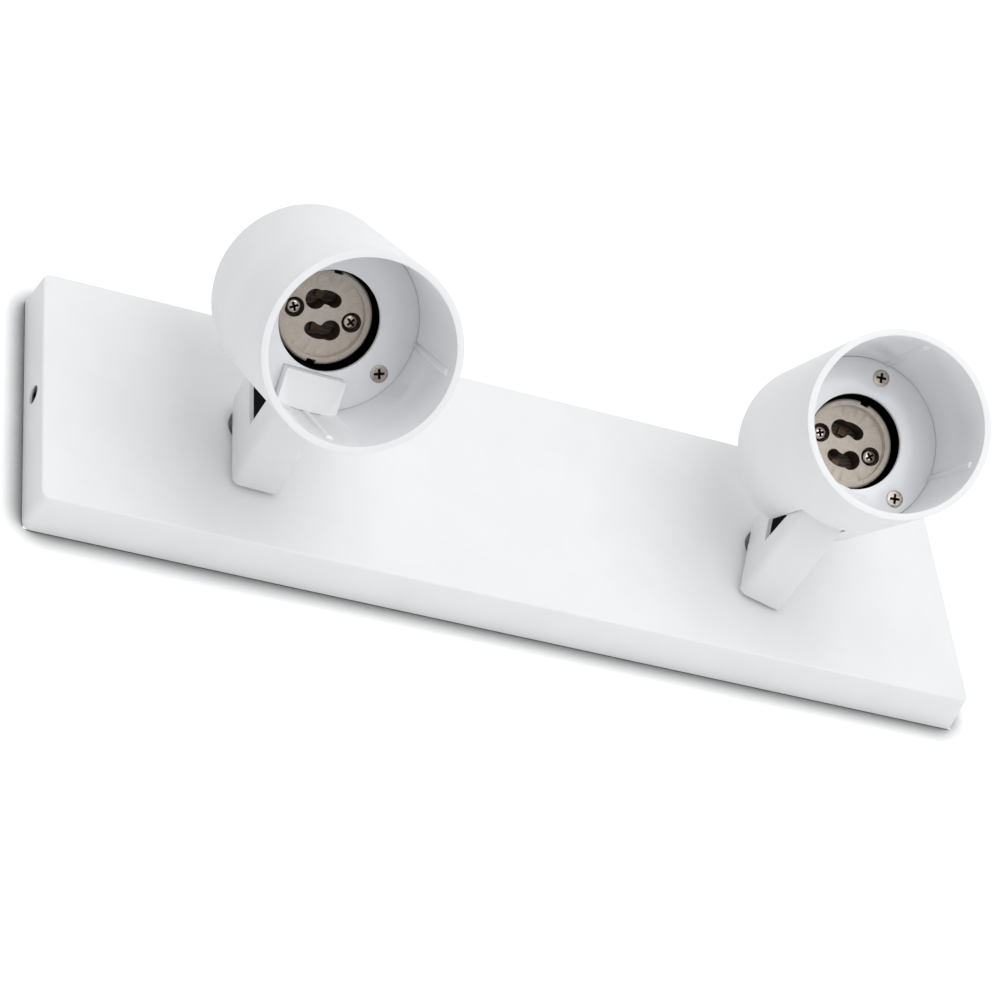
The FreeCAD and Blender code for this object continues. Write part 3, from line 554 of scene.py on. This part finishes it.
@dataclass(frozen=True)
class HeadFrame:
    """A lamp head's own axes: the tilt axis, the way the lamp looks, and up across the can."""

    origin: Vector
    right: Vector
    look: Vector
    up: Vector

    @classmethod
    def read(cls, record: Dict, joints: Sequence[Dict], side: Side) -> "HeadFrame":
        """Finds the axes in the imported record.

        Args:
            record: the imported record.
            joints: its joints.
            side: which head.

        Returns:
            The head's axes.
        """
        tilt = next(joint for joint in joints if joint["name"] == f"{side.value}_tilt")
        base = next(mount for mount in record["mounts"]
                    if mount["name"] == f"{side.value}_lamp_base")
        right = Vector(tilt["axis"]).normalized()
        look = Vector(base["axis"]).normalized()
        return cls(Vector(tilt["pos_m"]), right, look, right.cross(-look))

    def face(self, ahead_mm: float) -> Matrix:
        """A drawing plane across the can, with its own Z out of the can's mouth.

        Args:
            ahead_mm: how far ahead of the tilt axis the plane lies.

        Returns:
            The plane's placement, with its middle on the can's axis.
        """
        place = self.origin + (self.look * ahead_mm + self.up * CAN_AXIS_UP_MM) * MM
        turn = Matrix((self.right, self.up, self.look)).transposed()
        return Matrix.Translation(place) @ turn.to_4x4()

    def depth(self, point: Vector) -> float:
        """How far ahead of the tilt axis a point lies, in millimetres."""
        return (point - self.origin).dot(self.look) / MM

    def from_axis(self, point: Vector) -> float:
        """A point's distance from the can's axis, in millimetres."""
        offset = point - self.origin - self.up * CAN_AXIS_UP_MM * MM
        return (offset - self.look * offset.dot(self.look)).length / MM


# ------------------------------------------------------------------ pieces
@dataclass
class Workshop:
    """What every piece is made from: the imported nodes, the record, the joints and the finishes."""

    nodes: Dict[str, Piece]
    record: Dict
    joints: List[Dict]
    paint: Paintbox

    def dress(self, finishes: Dict[str, FinishName], prefix: str = "") -> None:
        """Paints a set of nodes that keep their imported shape.

        Args:
            finishes: finish of each node, by its name without the prefix.
            prefix: what each node's name starts with.
        """
        for name, finish in finishes.items():
            self.paint.coat(self.nodes[prefix + name], finish)
            LOG.info("dressed %s%s in %s", prefix, name, finish.value)

    def head(self, side: Side) -> HeadFrame:
        """The axes of the lamp head on one side."""
        return HeadFrame.read(self.record, self.joints, side)

    def smooth(self, piece: Piece, angle_deg: float = 32.0) -> None:
        """Shades a piece smooth across all edges but the ones sharper than an angle."""
        piece.data.shade_smooth()
        piece.data.set_sharp_from_angle(angle=math.radians(angle_deg))


@dataclass
class SoftEdged:
    """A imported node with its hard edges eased, as paint or moulding eases them."""

    node: str
    body: str
    finish: FinishName
    ease_mm: float = 0.2
    steps: int = 2
    edge_deg: float = 40.0

    def build(self, shop: Workshop) -> Piece:
        """Makes the eased piece in place of its node.

        Args:
            shop: nodes and finishes.

        Returns:
            The new piece.
        """
        piece = merged_copy(shop.nodes[self.node], f"{self.node}_eased")
        for ease_mm, steps, wanted in self.easings(shop):
            self.ease(piece, ease_mm, steps, wanted)
        self.paint(piece, shop)
        shop.smooth(piece)
        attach(piece, self.body)
        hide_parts(self.node)
        LOG.info("eased the edges of %s by %.2f mm", self.node, self.ease_mm)
        return piece

    def easings(self, shop: Workshop) -> List[Edging]:
        """Width, steps and a test of an edge's middle, in the order that edges are eased."""
        return [(self.ease_mm, self.steps, lambda middle: True)]

    def ease(self, piece: Piece, ease_mm: float, steps: int,
             wanted: Callable[[Vector], bool]) -> None:
        """Rounds the hard edges that a test picks.

        Args:
            piece: the piece.
            ease_mm: width of the rounding.
            steps: faces across it.
            wanted: says from an edge's middle whether it is one of them.
        """
        shell = open_shell(piece.data)
        hard = [edge for edge in shell.edges
                if edge.is_manifold and edge.calc_face_angle(0.0) > math.radians(self.edge_deg)
                and wanted((edge.verts[0].co + edge.verts[1].co) / 2)]
        bmesh.ops.bevel(shell, geom=hard, offset=ease_mm * MM, segments=steps, profile=0.5,
                        affect="EDGES", clamp_overlap=True)
        store(shell, piece.data)

    def paint(self, piece: Piece, shop: Workshop) -> None:
        """Gives the new piece its finish."""
        shop.paint.coat(piece, self.finish)

    def zone(self, piece: Piece, shop: Workshop, finish: FinishName,
             test: Callable[[Vector, Vector], bool]) -> None:
        """Gives some faces another finish.

        Args:
            piece: the piece.
            shop: the finishes.
            finish: finish of those faces.
            test: says from a face's middle and normal whether it is one of them.
        """
        piece.data.materials.append(shop.paint.get(finish))
        index = len(piece.data.materials) - 1
        for face in piece.data.polygons:
            if test(face.center, face.normal):
                face.material_index = index


@dataclass
class Can(SoftEdged):
    """The lamp can: painted outside, glossier and paler in its mouth where the paleness is painted
    light, and painted shade behind the divider.
    """

    side: Side = Side.LEFT
    divider_mid_mm: float = 10.15
    back_mm: float = -17.5
    bore_r_mm: float = 25.9
    tunnel_half_mm: float = 7.6
    slot_top_mm: float = 6.2
    tunnel_top_mm: float = 7.0
    tunnel_top_play_mm: float = 0.3

    def paint(self, piece: Piece, shop: Workshop) -> None:
        """Paints the outside, the mouth with its painted light and the chamber with painted shade.

        Args:
            piece: the can.
            shop: the finishes.
        """
        super().paint(piece, shop)
        head = shop.head(self.side)
        self.split(piece, head.origin + head.look * self.divider_mid_mm * MM, head.look)

        def inside(middle: Vector) -> bool:
            """Whether a point is within the can's bore, outside the slot that the arm moves in."""
            offset = middle - head.origin
            slot = (abs(offset.dot(head.right)) / MM < self.tunnel_half_mm
                    and offset.dot(head.up) / MM < self.slot_top_mm)
            return head.from_axis(middle) < self.bore_r_mm and not slot

        # The mouth's paint is paler than the outer coat: painted light.
        self.zone(piece, shop, FinishName.CAN_INSIDE,
                  lambda middle, normal: inside(middle)
                  and head.depth(middle) > self.divider_mid_mm)

        def on_tunnel(middle: Vector) -> bool:
            """Whether a point is on the flat top of the arm's tunnel."""
            height = (middle - head.origin).dot(head.up) / MM
            return (abs(height - self.tunnel_top_mm) < self.tunnel_top_play_mm
                    and head.depth(middle) > 0.0)

        # The chamber behind the divider, all but the tunnel's top, gets near-black painted shade.
        self.zone(piece, shop, FinishName.CHAMBER,
                  lambda middle, normal: inside(middle) and not on_tunnel(middle)
                  and self.back_mm < head.depth(middle) <= self.divider_mid_mm)

    @staticmethod
    def split(piece: Piece, place: Vector, normal: Vector) -> None:
        """Cuts the faces along a plane, so that each side of it can have its own finish.

        Args:
            piece: the piece.
            place: a point of the plane.
            normal: the plane's normal.
        """
        shell = open_shell(piece.data)
        everything = list(shell.verts) + list(shell.edges) + list(shell.faces)
        bmesh.ops.bisect_plane(shell, geom=everything, plane_co=place, plane_no=normal,
                               dist=ON_PLANE)
        store(shell, piece.data)


@dataclass
class Divider(SoftEdged):
    """The disc across the can: glossy and paler in front, the paleness painted light, and painted
    shade behind.
    """

    side: Side = Side.LEFT
    faces_back: float = -0.7

    def paint(self, piece: Piece, shop: Workshop) -> None:
        """Paints the disc's two faces, the back one in painted shade.

        Args:
            piece: the disc.
            shop: the finishes.
        """
        super().paint(piece, shop)
        head = shop.head(self.side)
        # Faces that look back into the chamber get painted shade.
        self.zone(piece, shop, FinishName.CHAMBER,
                  lambda middle, normal: normal.dot(head.look) < self.faces_back)


@dataclass
class Lampholder(SoftEdged):
    """The ceramic lampholder: a rounded lip, and painted shade on the insides of its keyholes and
    screw wells.
    """

    side: Side = Side.LEFT
    floor_ahead_mm: float = 2.4
    lip_from_mm: float = 1.0
    hole_from_mm: float = 0.35
    well_reach_mm: float = 11.4
    lip_ease_mm: float = 0.8
    lip_steps: int = 4

    def easings(self, shop: Workshop) -> List[Edging]:
        """The lip is rounded over, and the edges of the holes are only broken.

        Args:
            shop: record and joints.

        Returns:
            Width, steps and a test of an edge's middle, in the order of work.
        """
        head = shop.head(self.side)

        def on_lip(middle: Vector) -> bool:
            """Whether a point is on the lip's front."""
            return (head.from_axis(middle) > self.well_reach_mm
                    and head.depth(middle) > self.floor_ahead_mm + self.lip_from_mm)

        return [(self.lip_ease_mm, self.lip_steps, on_lip),
                (self.ease_mm, self.steps, lambda middle: not on_lip(middle)
                 and head.from_axis(middle) < self.well_reach_mm)]

    def paint(self, piece: Piece, shop: Workshop) -> None:
        """Paints the clay, and what lies below its recessed face in dark painted shade.

        Args:
            piece: the lampholder.
            shop: the finishes.
        """
        super().paint(piece, shop)
        head = shop.head(self.side)
        # The insides of the keyholes and screw wells get dark painted shade.
        self.zone(piece, shop, FinishName.KEYHOLE,
                  lambda middle, normal: head.from_axis(middle) < self.well_reach_mm
                  and head.depth(middle) < self.floor_ahead_mm - self.hole_from_mm)


class ScrewPattern(Enum):
    """How a group of equal screws is laid out round the can's axis."""

    DIVIDER = "divider_screws"
    SOCKET = "socket_screws"


@dataclass(frozen=True)
class CrossHead:
    """A cross-head screw with its own Z out of its head. Sizes are in millimetres."""

    head_d: float
    head_h: float
    dome: float
    edge: float
    taper_h: float
    shank_d: float
    shank_l: float
    cross_l: float
    cross_w: float
    cross_h: float
    metal: FinishName
    # Finish of the cross recess: dark painted shade.
    recess: FinishName
    around: int = 40
    cut_over: float = 0.3
    dome_curve: ClassVar[Tuple[Tuple[float, float], ...]] = ((0.0, 1.0), (0.35, 0.93), (0.7, 0.62))
    shoulder: ClassVar[float] = 0.2
    rounding: ClassVar[float] = 0.3
    cross_narrows: ClassVar[Tuple[float, float]] = (0.2, 0.28)

    def profile(self) -> List[Tuple[float, float]]:
        """Half outline of the screw from the top of its head to its tip, as radius and height."""
        r, shank = self.head_d / 2, self.shank_d / 2
        dome = [(r * out, self.dome * up) for out, up in self.dome_curve]
        rim = [(r - self.edge, self.dome * self.shoulder),
               (r - self.edge * self.rounding, -self.edge * self.rounding), (r, -self.edge)]
        return dome + rim + [(r, -self.head_h), (shank, -self.head_h - self.taper_h),
                             (shank, -self.shank_l), (0.0, -self.shank_l)]

    def turned(self, name: str, points: Sequence[Tuple[float, float]]) -> Piece:
        """Turns a half outline round Z.

        Args:
            name: the object's name.
            points: radius and height pairs that start and end on the axis.

        Returns:
            The turned object.
        """
        shell = bmesh.new()
        rings: List[List[bmesh.types.BMVert]] = []
        for radius, height in points:
            if radius == 0.0:
                rings.append([shell.verts.new((0.0, 0.0, height * MM))])
                continue
            angles = [math.tau * k / self.around for k in range(self.around)]
            rings.append([shell.verts.new((radius * MM * math.cos(angle),
                                           radius * MM * math.sin(angle), height * MM))
                          for angle in angles])
        for upper, lower in zip(rings, rings[1:]):
            for k in range(self.around):
                near = (k + 1) % self.around
                if len(upper) == 1:
                    shell.faces.new((upper[0], lower[k], lower[near]))
                elif len(lower) == 1:
                    shell.faces.new((upper[k], lower[0], upper[near]))
                else:
                    shell.faces.new((upper[k], lower[k], lower[near], upper[near]))
        bmesh.ops.recalc_face_normals(shell, faces=shell.faces)
        return add_object(name, store(shell, bpy.data.meshes.new(name)))

    def wing(self, name: str, turn: float) -> Piece:
        """One bar of the cross cutter, narrow at its bottom.

        Args:
            name: the object's name.
            turn: angle of the bar round Z.

        Returns:
            The bar.
        """
        shell = bmesh.new()
        low_l, low_w = self.cross_narrows
        rings = []
        for height, half_l, half_w in (
                (self.dome + self.cut_over, self.cross_l / 2, self.cross_w / 2),
                (-self.cross_h, self.cross_l * low_l, self.cross_w * low_w)):
            corners = ((-half_l, -half_w), (half_l, -half_w), (half_l, half_w), (-half_l, half_w))
            rings.append([shell.verts.new((x * MM, y * MM, height * MM)) for x, y in corners])
        shell.faces.new(rings[0])
        shell.faces.new(rings[1][::-1])
        high, low = rings
        for k in range(4):
            near = (k + 1) % 4
            shell.faces.new((high[k], low[k], low[near], high[near]))
        bmesh.ops.recalc_face_normals(shell, faces=shell.faces)
        shell.transform(Matrix.Rotation(turn, 4, "Z"))
        return add_object(name, store(shell, bpy.data.meshes.new(name)))

    def build(self, name: str, paint: Paintbox, sharp_deg: float = 35.0) -> Piece:
        """Makes one screw with its cross recess.

        Args:
            name: the screw's name.
            paint: the finishes.
            sharp_deg: edges sharper than this stay sharp.

        Returns:
            The screw, at the origin.
        """
        screw = self.turned(f"{name}_blank", self.profile())
        wings = [self.wing(f"{name}_wing_{k}", math.pi / 2 * k) for k in range(2)]
        # The cross cutters carry the recess finish, dark painted shade, onto the cut faces.
        for part, finish in [(screw, self.metal)] + [(wing, self.recess) for wing in wings]:
            paint.coat(part, finish)
        for wing in wings:
            cut = screw.modifiers.new("cross", "BOOLEAN")
            cut.operation = "DIFFERENCE"
            cut.solver = "EXACT"
            cut.material_mode = "TRANSFER"
            cut.object = wing
        mesh = freeze(screw, name)
        for part in [screw] + wings:
            bpy.data.objects.remove(part)
        mesh.shade_smooth()
        mesh.set_sharp_from_angle(angle=math.radians(sharp_deg))
        return add_object(name, mesh)


class RingLayout:
    """A geometry tree that lays copies of one screw round a circle, each turned further."""

    GROUP = "screws_on_a_ring"
    SEED = 7
    INPUTS = (("Geometry", "NodeSocketGeometry"), ("Screw", "NodeSocketObject"),
              ("Count", "NodeSocketInt"), ("Radius", "NodeSocketFloat"),
              ("Start", "NodeSocketFloat"), ("Turn", "NodeSocketFloat"),
              ("Twist", "NodeSocketFloat"), ("Wobble", "NodeSocketFloat"),
              ("Seed", "NodeSocketInt"))

    def __init__(self) -> None:
        """Builds the tree."""
        self.tree = bpy.data.node_groups.new(self.GROUP, "GeometryNodeTree")
        self.sockets: Dict[str, str] = {}
        for name, kind in self.INPUTS:
            socket = self.tree.interface.new_socket(name, in_out="INPUT", socket_type=kind)
            self.sockets[name] = socket.identifier
        self.tree.interface.new_socket("Geometry", in_out="OUTPUT",
                                       socket_type="NodeSocketGeometry")
        self.chosen = self.node("GeometryNodeMaterialSelection")
        self.painted = self.node("GeometryNodeSetMaterial")
        self.wire()

    def node(self, kind: str, **settings: object) -> bpy.types.Node:
        """Adds a node with its settings.

        Args:
            kind: Blender's node type.
            **settings: properties of the node.

        Returns:
            The new node.
        """
        node = self.tree.nodes.new(kind)
        for key, value in settings.items():
            setattr(node, key, value)
        return node

    def math(self, operation: str, first: object, second: object = None) -> Socket:
        """Adds a sum of two values.

        Args:
            operation: what to do with them.
            first: a socket or a number.
            second: a socket or a number, if the operation takes two.

        Returns:
            The result.
        """
        node = self.node("ShaderNodeMath", operation=operation)
        for slot, value in zip(node.inputs, (first, second)):
            if isinstance(value, Socket):
                self.tree.links.new(value, slot)
            elif value is not None:
                slot.default_value = value
        return node.outputs[0]

    def wire(self) -> None:
        """Joins the nodes: points on a circle, a turned screw on each, then one plain mesh."""
        links = self.tree.links
        given = self.node("NodeGroupInput").outputs
        index = self.node("GeometryNodeInputIndex").outputs[0]
        points = self.node("GeometryNodePoints")
        links.new(given["Count"], points.inputs["Count"])
        links.new(self.places(given, index), points.inputs["Position"])
        screw = self.node("GeometryNodeObjectInfo", transform_space="ORIGINAL")
        links.new(given["Screw"], screw.inputs["Object"])
        copies = self.node("GeometryNodeInstanceOnPoints")
        links.new(points.outputs[0], copies.inputs["Points"])
        links.new(screw.outputs["Geometry"], copies.inputs["Instance"])
        links.new(self.turns(given, index), copies.inputs["Rotation"])
        real = self.node("GeometryNodeRealizeInstances")
        links.new(copies.outputs[0], real.inputs[0])
        links.new(real.outputs[0], self.painted.inputs["Geometry"])
        links.new(self.chosen.outputs[0], self.painted.inputs["Selection"])
        links.new(self.painted.outputs[0], self.node("NodeGroupOutput").inputs[0])

    def places(self, given: bpy.types.NodeOutputs, index: Socket) -> Socket:
        """Where each copy stands on the circle.

        Args:
            given: the tree's inputs.
            index: number of the copy.

        Returns:
            The place as a vector socket.
        """
        links = self.tree.links
        angle = self.math("MULTIPLY_ADD", index, self.math("DIVIDE", math.tau, given["Count"]))
        links.new(given["Start"], angle.node.inputs[2])
        place = self.node("ShaderNodeCombineXYZ")
        for axis, part in enumerate(("COSINE", "SINE")):
            along = self.math("MULTIPLY", given["Radius"], self.math(part, angle))
            links.new(along, place.inputs[axis])
        return place.outputs[0]

    def turns(self, given: bpy.types.NodeOutputs, index: Socket) -> Socket:
        """How each copy is turned: one turn for all, a twist from each to the next, and a wobble.

        Args:
            given: the tree's inputs.
            index: number of the copy.

        Returns:
            The turn as a vector socket.
        """
        links = self.tree.links
        chance = self.node("FunctionNodeRandomValue", data_type="FLOAT")
        links.new(self.math("MULTIPLY", given["Wobble"], -1.0), chance.inputs["Min"])
        links.new(given["Wobble"], chance.inputs["Max"])
        links.new(given["Seed"], chance.inputs["Seed"])
        wobble = next(out for out in chance.outputs if out.enabled and out.type == "VALUE")
        spin = self.math("MULTIPLY_ADD", index, given["Twist"])
        links.new(self.math("ADD", wobble, given["Turn"]), spin.node.inputs[2])
        turn = self.node("ShaderNodeCombineXYZ")
        links.new(spin, turn.inputs[2])
        return turn.outputs[0]

    def lay(self, name: str, screw: Piece, metal: Material, sizes: Dict[str, float]) -> Mesh:
        """Lays the screws and gives them back as one plain mesh.

        Args:
            name: the mesh's name.
            screw: the screw to copy.
            metal: the metal that the heads are painted with.
            sizes: the tree's named sizes.

        Returns:
            The plain mesh, round the origin.
        """
        self.chosen.inputs["Material"].default_value = metal
        self.painted.inputs["Material"].default_value = metal
        carrier = add_object(f"{name}_carrier", bpy.data.meshes.new(f"{name}_carrier"))
        modifier = carrier.modifiers.new("ring", "NODES")
        modifier.node_group = self.tree
        for key, value in {**sizes, "Screw": screw, "Seed": self.SEED}.items():
            modifier[self.sockets[key]] = value
        mesh = freeze(carrier, name)
        carrier.modifiers.clear()
        bpy.data.objects.remove(carrier)
        return mesh


@dataclass
class ScrewGroup:
    """Equal screws on a circle across the can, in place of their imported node."""

    side: Side
    pattern: ScrewPattern
    screw: CrossHead
    ring_r_mm: float
    count: int
    start_deg: float
    turn_deg: float
    twist_deg: float
    ahead_mm: float
    wobble_deg: float = 4.0

    def build(self, shop: Workshop, layout: RingLayout) -> Piece:
        """Makes the group.

        Args:
            shop: record and finishes.
            layout: the tree that lays screws on a ring.

        Returns:
            The screws as one piece.
        """
        node = f"{self.side.value}_{self.pattern.value}"
        model = self.screw.build(f"{node}_model", shop.paint)
        sizes = {"Count": self.count, "Radius": self.ring_r_mm * MM}
        for name, angle_deg in (("Start", self.start_deg), ("Turn", self.turn_deg),
                                ("Twist", self.twist_deg), ("Wobble", self.wobble_deg)):
            sizes[name] = math.radians(angle_deg)
        mesh = layout.lay(f"{node}_turned", model, shop.paint.get(self.screw.metal), sizes)
        bpy.data.objects.remove(model)
        head = shop.head(self.side)
        mesh.transform(head.face(self.ahead_mm))
        piece = add_object(f"{node}_turned", mesh)
        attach(piece, Body.HEAD.of(self.side))
        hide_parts(node)
        LOG.info("laid %d screws in place of %s", self.count, node)
        return piece


@dataclass
class PlateAssembly:
    """The cover plate and everything fixed to the wall behind it."""

    finishes: ClassVar[Dict[str, FinishName]] = {
        "cover_plate": FinishName.WHITE_COAT,
        "wall_bracket": FinishName.ZINC,
        "cable_grommet": FinishName.RUBBER,
        "terminal_block": FinishName.CREAM_MOULDING,
        "terminal_levers": FinishName.GREY_MOULDING,
        "earth_screw": FinishName.BRASS,
        "cover_screws": FinishName.BLACK_OXIDE,
        "swivel_nipples": FinishName.ZINC,
        "nipple_nuts": FinishName.ZINC,
        "spacer_washers": FinishName.GREY_ZINC,
    }

    def build(self, shop: Workshop) -> None:
        """Dresses the fixed pieces."""
        shop.dress(self.finishes)


@dataclass
class ArmAssembly:
    """One folded arm with its black liner, whose black is painted shade in the arm's notch."""

    side: Side
    edge_ease_mm: float = 0.18
    # The liner's black is painted shade for the dark notch of the arm.
    finishes: ClassVar[Dict[str, FinishName]] = {"arm_liner": FinishName.BLACK_MOULDING}

    def build(self, shop: Workshop) -> None:
        """Dresses the arm.

        Args:
            shop: nodes and finishes.
        """
        shop.dress(self.finishes, f"{self.side.value}_")
        SoftEdged(f"{self.side.value}_arm", Body.ARM.of(self.side), FinishName.WHITE_COAT,
                  self.edge_ease_mm).build(shop)


@dataclass
class LampHead:
    """One lamp head: can, divider, lampholder, their screws and the leads."""

    side: Side
    finishes: ClassVar[Dict[str, FinishName]] = {
        "tilt_pin": FinishName.ZINC,
        "socket_contacts": FinishName.BRONZE,
        "lead_neutral": FinishName.BLUE_LEAD,
        "lead_live": FinishName.BROWN_LEAD,
    }

    def build(self, shop: Workshop, layout: RingLayout) -> None:
        """Makes the head's pieces.

        Args:
            shop: nodes, record and finishes.
            layout: the tree that lays screws on a ring.
        """
        name = f"{self.side.value}_"
        body = Body.HEAD.of(self.side)
        shop.dress(self.finishes, name)
        for kind, node, finish, ease_mm in ((Can, "can", FinishName.WHITE_COAT, 0.3),
                                            (Divider, "divider", FinishName.CAN_INSIDE, 0.2),
                                            (Lampholder, "socket", FinishName.CERAMIC, 0.25)):
            kind(name + node, body, finish, ease_mm=ease_mm, side=self.side).build(shop)
        ScrewGroup(self.side, ScrewPattern.DIVIDER, self.divider_screw(), ring_r_mm=21.0, count=3,
                   start_deg=90.0, turn_deg=12.0, twist_deg=95.0, ahead_mm=10.9).build(shop, layout)
        ScrewGroup(self.side, ScrewPattern.SOCKET, self.socket_screw(), ring_r_mm=8.5, count=2,
                   start_deg=180.0, turn_deg=30.0, twist_deg=25.0, ahead_mm=1.6).build(shop, layout)

    @staticmethod
    def divider_screw() -> CrossHead:
        """The countersunk screw of the divider."""
        return CrossHead(head_d=5.2, head_h=0.15, dome=0.12, edge=0.12, taper_h=1.1, shank_d=3.0,
                         shank_l=10.0, cross_l=3.4, cross_w=0.85, cross_h=1.5,
                         metal=FinishName.SCREW, recess=FinishName.SCREW_RECESS)

    @staticmethod
    def socket_screw() -> CrossHead:
        """The round-headed screw of the lampholder."""
        return CrossHead(head_d=4.6, head_h=1.6, dome=0.35, edge=0.4, taper_h=0.0, shank_d=3.0,
                         shank_l=10.0, cross_l=3.0, cross_w=0.8, cross_h=1.3,
                         metal=FinishName.SOCKET_SCREW, recess=FinishName.SCREW_RECESS)


# ------------------------------------------------------------------ round the light
@dataclass(frozen=True)
class Softbox:
    """A square lamp that faces the middle of the plate."""

    name: str
    place: Tuple[float, float, float]
    size: float
    watts: float

    def build(self) -> None:
        """Adds the lamp."""
        data = bpy.data.lights.new(self.name, "AREA")
        data.shape = "SQUARE"
        data.size = self.size
        data.energy = self.watts
        lamp = bpy.data.objects.new(self.name, data)
        lamp.location = self.place
        lamp.rotation_euler = (-Vector(self.place)).to_track_quat("-Z", "Y").to_euler()
        bpy.context.scene.collection.objects.link(lamp)


@dataclass
class Studio:
    """Wall, lamps and camera."""

    focal_px: float = 3089.6
    frame_px: float = 1000.0
    sensor_mm: float = 36.0
    eye_mm: Tuple[float, float, float] = (-343.05, -618.93, -609.16)
    right: Tuple[float, float, float] = (0.906249, -0.413036, -0.090079)
    down: Tuple[float, float, float] = (0.212103, 0.628570, -0.748273)
    ahead: Tuple[float, float, float] = (0.365685, 0.659015, 0.657247)
    wall_half: float = 3.0
    wall_gap_mm: float = 0.3
    behind_plate: Tuple[float, float] = (0.1496, 0.0446)
    ambient: float = 0.56
    sky: Shade = (0.97, 0.985, 1.0, 1.0)
    wall_lift: float = 0.25
    contact_mm: float = 9.0
    contact_samples: int = 12
    contact_shade: Shade = (0.03, 0.03, 0.03, 1.0)
    contact_band: Tuple[float, float] = (0.5, 1.0)
    softboxes: Tuple[Softbox, ...] = (
        Softbox("front", (0.1, -1.7, 0.2), 1.2, 2.4),
        Softbox("top", (0.1, -0.9, 1.5), 1.2, 3.2),
        Softbox("upper_left", (-0.9, -1.3, 1.1), 0.8, 1.0),
        Softbox("front_low", (0.15, -1.5, -0.55), 1.0, 8.6),
        Softbox("below", (0.6, -0.6, -1.5), 1.2, 1.3),
    )

    def build(self) -> None:
        """Sets up everything round the light."""
        self.place_camera()
        self.place_world()
        self.place_wall()
        for softbox in self.softboxes:
            softbox.build()
        bpy.context.scene.view_settings.view_transform = "Standard"

    def place_camera(self) -> None:
        """Puts the camera where the picture was taken from."""
        data = bpy.data.cameras.new("camera")
        data.sensor_fit = "HORIZONTAL"
        data.sensor_width = self.sensor_mm
        data.lens = self.focal_px / self.frame_px * self.sensor_mm
        camera = bpy.data.objects.new("camera", data)
        turn = Matrix((self.right, [-v for v in self.down], [-v for v in self.ahead])).transposed()
        camera.matrix_world = Matrix.Translation(Vector(self.eye_mm) * MM) @ turn.to_4x4()
        bpy.context.scene.collection.objects.link(camera)
        bpy.context.scene.camera = camera

    def place_world(self) -> None:
        """A plain pale sky that cameras, metal and clear pieces see as white."""
        world = bpy.data.worlds.new("studio")
        bpy.context.scene.world = world
        tree = ShaderTree(world, "ShaderNodeOutputWorld")
        path = tree.add("ShaderNodeLightPath")
        seen = path.outputs["Is Camera Ray"]
        for name in ("Is Transmission Ray", "Is Glossy Ray"):
            seen = tree.compute("MAXIMUM", seen, path.outputs[name])
        soft = tree.add("ShaderNodeBackground", Color=self.sky, Strength=self.ambient)
        white = tree.add("ShaderNodeBackground", Color=WHITE, Strength=1.0)
        tree.finish(seen, soft, white)

    def place_wall(self) -> None:
        """Adds the wall as a square frame round an opening behind the plate."""
        y = self.wall_gap_mm * MM
        mesh = bpy.data.meshes.new("wall")
        corners = [(x * side_x, y, z * side_z)
                   for x, z in ((self.wall_half, self.wall_half), self.behind_plate)
                   for side_x, side_z in ((-1, -1), (1, -1), (1, 1), (-1, 1))]
        mesh.from_pydata(corners, [], [(k, (k + 1) % 4, 4 + (k + 1) % 4, 4 + k) for k in range(4)])
        wall = add_object("wall", mesh)
        wall.data.materials.append(self.wall_paint())

    def wall_paint(self) -> Material:
        """White paint, clear from its back, with painted shade where the plate meets it.

        Returns:
            The wall's material.
        """
        material = bpy.data.materials.new("wall_white")
        tree = ShaderTree(material)
        # Ambient occlusion darkens the wall's colour near the plate: painted contact shade.
        corner = tree.add("ShaderNodeAmbientOcclusion", Distance=self.contact_mm * MM)
        corner.samples = self.contact_samples
        shade = tree.ramp(corner.outputs["AO"], self.contact_shade, WHITE, *self.contact_band)
        seen = tree.add("ShaderNodeLightPath").outputs["Is Camera Ray"]
        paint, glow = tree.add("ShaderNodeBsdfDiffuse"), tree.add("ShaderNodeEmission")
        both = tree.add("ShaderNodeAddShader")
        for shader, slot in zip((paint, glow), both.inputs):
            tree.join(shade, shader.inputs["Color"])
            tree.join(shader.outputs[0], slot)
        tree.join(tree.span(seen, 0.0, self.wall_lift), glow.inputs["Strength"])
        back = tree.add("ShaderNodeNewGeometry").outputs["Backfacing"]
        tree.finish(back, both, tree.add("ShaderNodeBsdfTransparent"))
        return material


def main() -> None:
    """Builds the light's looks in order."""
    logging.basicConfig(level=logging.INFO, format="%(name)s: %(message)s")
    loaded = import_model()
    Studio().build()
    shop = Workshop(loaded["nodes"], loaded["record"], loaded["joints"], Paintbox())
    layout = RingLayout()
    PlateAssembly().build(shop)
    for side in Side:
        ArmAssembly(side).build(shop)
        LampHead(side).build(shop, layout)


if __name__ == "__main__":
    main()
